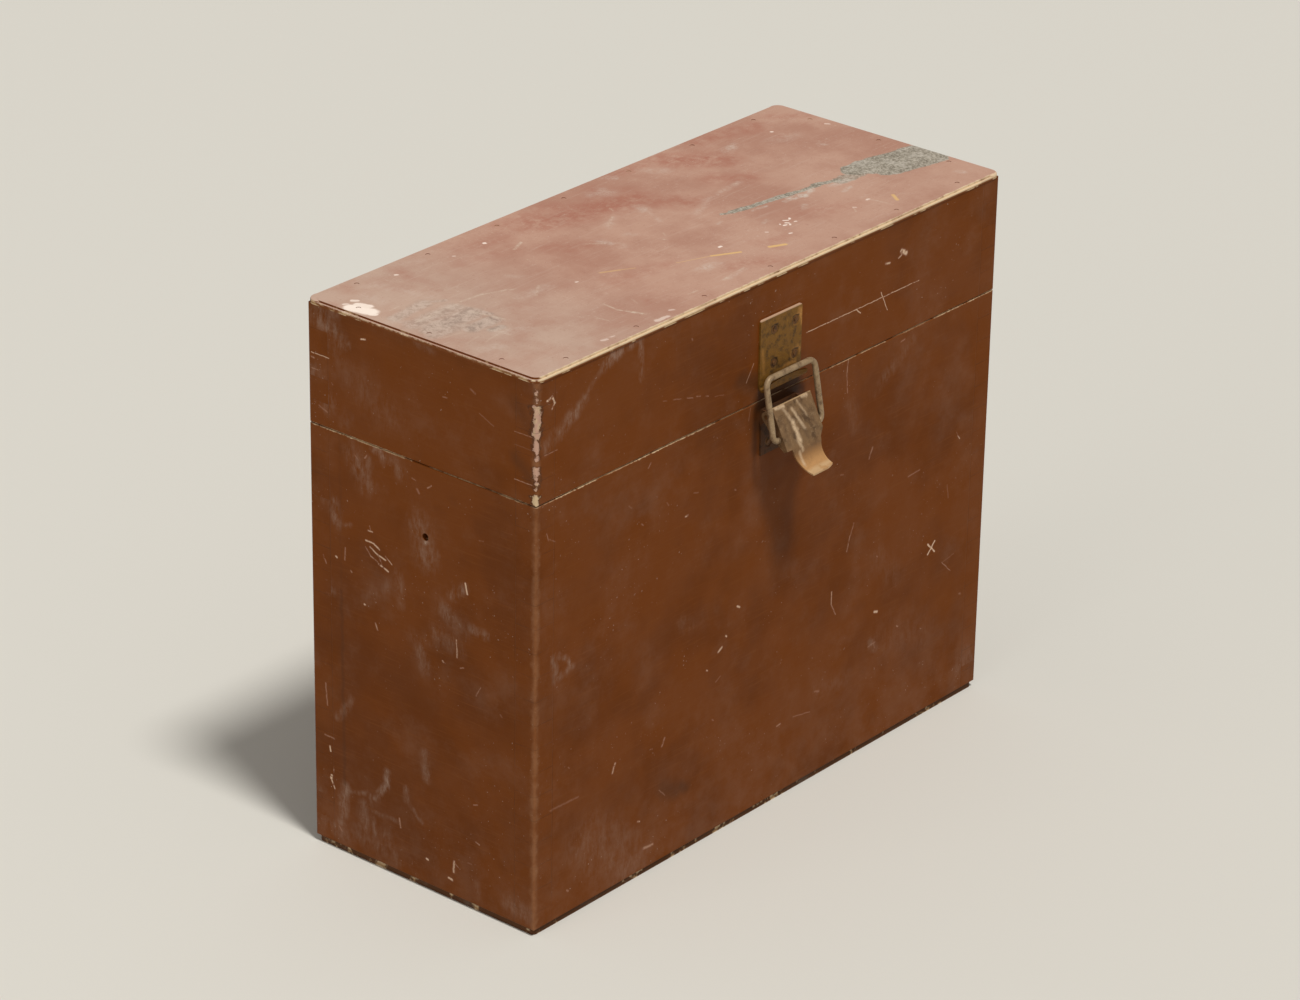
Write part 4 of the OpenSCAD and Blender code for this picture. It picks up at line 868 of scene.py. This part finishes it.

# %% [markdown]
# ## Rusty sheet steel
#
# The latch was stamped from thin sheet. Its zinc or lacquer is long gone and each piece has rusted its own
# way: the plate on the lid is olive brown with golden rust round its nails, the lever is grey brown and
# rubbed bright in streaks, the tongue is orange tan, the wire is a light brown grey, and the base plate
# went brown with the box. The recipe lays three rust colours over each other with noise, and adds the
# streaks as drawn lines. Part of the colour is painted light: painted shade over the plate's nail dimples,
# in the lever's hollows and on the base plate, kept dark as if shaded behind the lever, and painted
# highlights on the plate's top edge, the lever's edges, part of its streaks and the tongue's paler tip.

# %% Mix the rust
def rust_finish(name, ground, dark, bright, metallic=0.35, rough=(0.48, 0.75), grain=1.2, extra=None):
    f = Finish(name, specular=0.22, metallic=metallic)
    flakes = f.noise(grain, 5.0, seed=70.0, rough=0.75)
    blotch = f.noise(grain * 4, 4.0, seed=71.0, rough=0.65)
    skin = f.over(ground, dark, f.fade(blotch, 0.45, 0.68))
    skin = f.over(skin, bright, f.fade(flakes, 0.50, 0.74, 0.0, 0.8))
    if extra:
        skin = extra(f, skin, flakes)
    f.colour(skin)
    f.roughness(f.fade(flakes, 0.35, 0.7, *rough))
    f.bump(f.math("ADD", f.math("MULTIPLY", flakes, 0.6), f.math("MULTIPLY", blotch, 0.4)), RUST_RELIEF)
    return f


keeper_gold = [(14, 309.7, 20, 313.5, 5, 0.9), (17, 315, 19.5, 306, 3, 0.7), (13, 289.5, 16, 290.5, 5, 0.8),
               (-16, 300, -14, 285, 2, 0.35), (4, 284, 14, 284, 2, 0.5)]
# painted shade: dark arcs along the tops of the nail dimples
keeper_shade_arcs = [(-7.6, 312.0, -2.6, 312.2, 1.1, 0.8), (11.2, 312.2, 16.4, 312.0, 1.1, 0.7),
               (-7.6, 291.4, -2.6, 291.4, 1.1, 0.8), (11.2, 291.4, 16.4, 291.4, 1.1, 0.7)]
keeper_dimples = [(x, z, x + 0.01, z) for x in (-5.0, 14.0) for z in (288.9, 309.7)]


def keeper_marks(f, skin, flakes):
    """Golden rust round the nails on the right, a painted highlight on the top edge, and painted shade over
    the dimples.
    """
    flat = f.wobble(f.join(f.x, f.z), 4, 1.0)
    gold = f.marks(flat, keeper_gold, 0.8)
    skin = f.over(skin, (0.46, 0.21, 0.05), gold, f.fade(flakes, 0.30, 0.55))
    # painted shade over the dimples
    arcs = f.marks(f.join(f.x, f.z), keeper_shade_arcs, 0.6)
    skin = f.over(skin, (0.030, 0.016, 0.008), arcs)
    plate = f.join(f.x, f.z)
    # painted shade: dark rings round the nail heads inside the dimples
    ring = f.math("SUBTRACT", f.marks(plate, [(*spot, 6.6, 1.0) for spot in keeper_dimples], 0.15),
                  f.marks(plate, [(*spot, 4.6, 1.0) for spot in keeper_dimples], 0.15))
    skin = f.over(skin, (0.040, 0.021, 0.008),
                  ring, f.fade(f.noise(3, 3.0, seed=73.0), 0.35, 0.60, 0.9, 0.35))
    # painted highlight along the plate's top edge
    rim = f.fade(f.z, 317.3, 318.1)
    return f.over(skin, (0.60, 0.38, 0.24), rim, 0.9)


# each finish is named with its ground, its dark and its bright colour
dress("keeper_plate", rust_finish(
    "keeper rust", (0.172, 0.074, 0.008), (0.070, 0.031, 0.005), (0.30, 0.155, 0.028),
    metallic=0.1, extra=keeper_marks))
nail_rust = rust_finish("nail rust", (0.150, 0.065, 0.020), (0.055, 0.026, 0.011), (0.34, 0.15, 0.045),
                        grain=0.8)
for node in ("keeper_nails", "latch_base_nails"):
    dress(node, nail_rust)
# the base plate is kept darker than the box paint as painted shade behind the lever
dress("latch_base", rust_finish(
    "base rust", (0.088, 0.032, 0.009), (0.036, 0.016, 0.007), (0.150, 0.062, 0.024),
    metallic=0.0, rough=(0.6, 0.8)))


# streaks partly rubbed metal and partly painted highlight on the ridges
lever_streaks_and_highlights = [
    (-8, 264, -2.5, 252, 1.8, 0.55), (-4, 256, -3.5, 246, 2.4, 0.95), (-1, 262, 3.5, 251, 1.8, 0.65),
    (5, 265, 9, 256, 1.2, 0.40), (-5, 246, -3, 240, 2.0, 0.70), (-6, 240, -5, 233, 1.8, 0.70),
    # painted highlight: the next two marks brighten the lever's top edge
    (-14, 266, -7, 265.6, 1.6, 0.95), (10, 266, 14, 265.6, 1.6, 0.80),
]
# painted shade in the hollows between the lever's ridges
lever_hollow_shade = [
    (-7, 258, -7, 247, 2.2, 0.55), (1, 256, 4, 246, 2.4, 0.55), (-12, 256, -13, 246, 2.0, 0.45),
    (11, 258, 14, 248, 2.0, 0.45), (8, 263, 12, 258, 1.4, 0.40),
]


def lever_marks(f, skin, flakes):
    """Orange tan on the tongue, cream streaks down the flat, painted shade in the hollows and painted
    highlights on the edges.
    """
    flat = f.wobble(f.join(f.x, f.z), 5, 0.9)
    # orange tan rust, paler towards the tip as painted highlight where the curled tip faces the light
    tongue = f.fade(f.z, 246, 236)
    tan = f.over((0.26, 0.125, 0.045), (0.50, 0.262, 0.098), f.fade(f.z, 240, 231))
    skin = f.over(skin, tan, tongue, f.fade(flakes, 0.20, 0.60, 0.60, 0.95))
    # painted shade in the hollows
    shade = f.marks(flat, lever_hollow_shade, 1.2)
    skin = f.over(skin, (0.075, 0.042, 0.024), shade, f.fade(flakes, 0.30, 0.60, 1.0, 0.5))
    # rubbed streaks and painted highlights
    streaks = f.marks(flat, lever_streaks_and_highlights, 1.1)
    skin = f.over(skin, (0.62, 0.44, 0.27), streaks, f.fade(flakes, 0.30, 0.55, 0.35, 1.0))
    # painted highlights along the tongue's tip and the lever's top edge
    rims = f.either(f.fade(f.z, 231.2, 229.6), f.fade(f.z, 265.9, 266.5, 0.0, 0.8))
    return f.over(skin, (0.56, 0.36, 0.18),
                  rims, f.fade(f.noise(6, 3.0, seed=72.0), 0.38, 0.55, 0.3, 1.0))


dress("latch_lever", rust_finish(
    "lever steel", (0.195, 0.110, 0.050), (0.090, 0.048, 0.022), (0.34, 0.220, 0.115),
    metallic=0.15, rough=(0.38, 0.62), grain=1.5, extra=lever_marks))
dress("latch_link", rust_finish(
    "link wire", (0.310, 0.208, 0.112), (0.140, 0.082, 0.042), (0.50, 0.37, 0.23),
    metallic=0.15, rough=(0.36, 0.60), grain=1.1))
dress("latch_pivot_pin", nail_rust)
print("the latch is rusty")

# %% [markdown]
# ## Hinges, screws and brads
#
# The hinges on the back are plain pressed butt hinges. They are out of the damp more than the latch, so
# they stay darker and smoother, with brown rust in the knuckles.

# %% Finish the hinges
hinge_finish = rust_finish(
    "hinge steel", (0.150, 0.110, 0.080), (0.075, 0.045, 0.028), (0.26, 0.15, 0.085),
    metallic=0.6, rough=(0.36, 0.60), grain=2.2)
for node in ("left_hinge_body_leaf", "left_hinge_lid_leaf", "right_hinge_body_leaf", "right_hinge_lid_leaf"):
    dress(node, hinge_finish)
pin_finish = rust_finish(
    "pin steel", (0.24, 0.19, 0.15), (0.10, 0.065, 0.045), (0.36, 0.28, 0.22),
    metallic=0.7, rough=(0.30, 0.50), grain=0.9)
for node in ("left_hinge_pin", "right_hinge_pin", "body_hinge_screws", "lid_hinge_screws", "bottom_brads"):
    dress(node, pin_finish)
print("the hinges are finished")
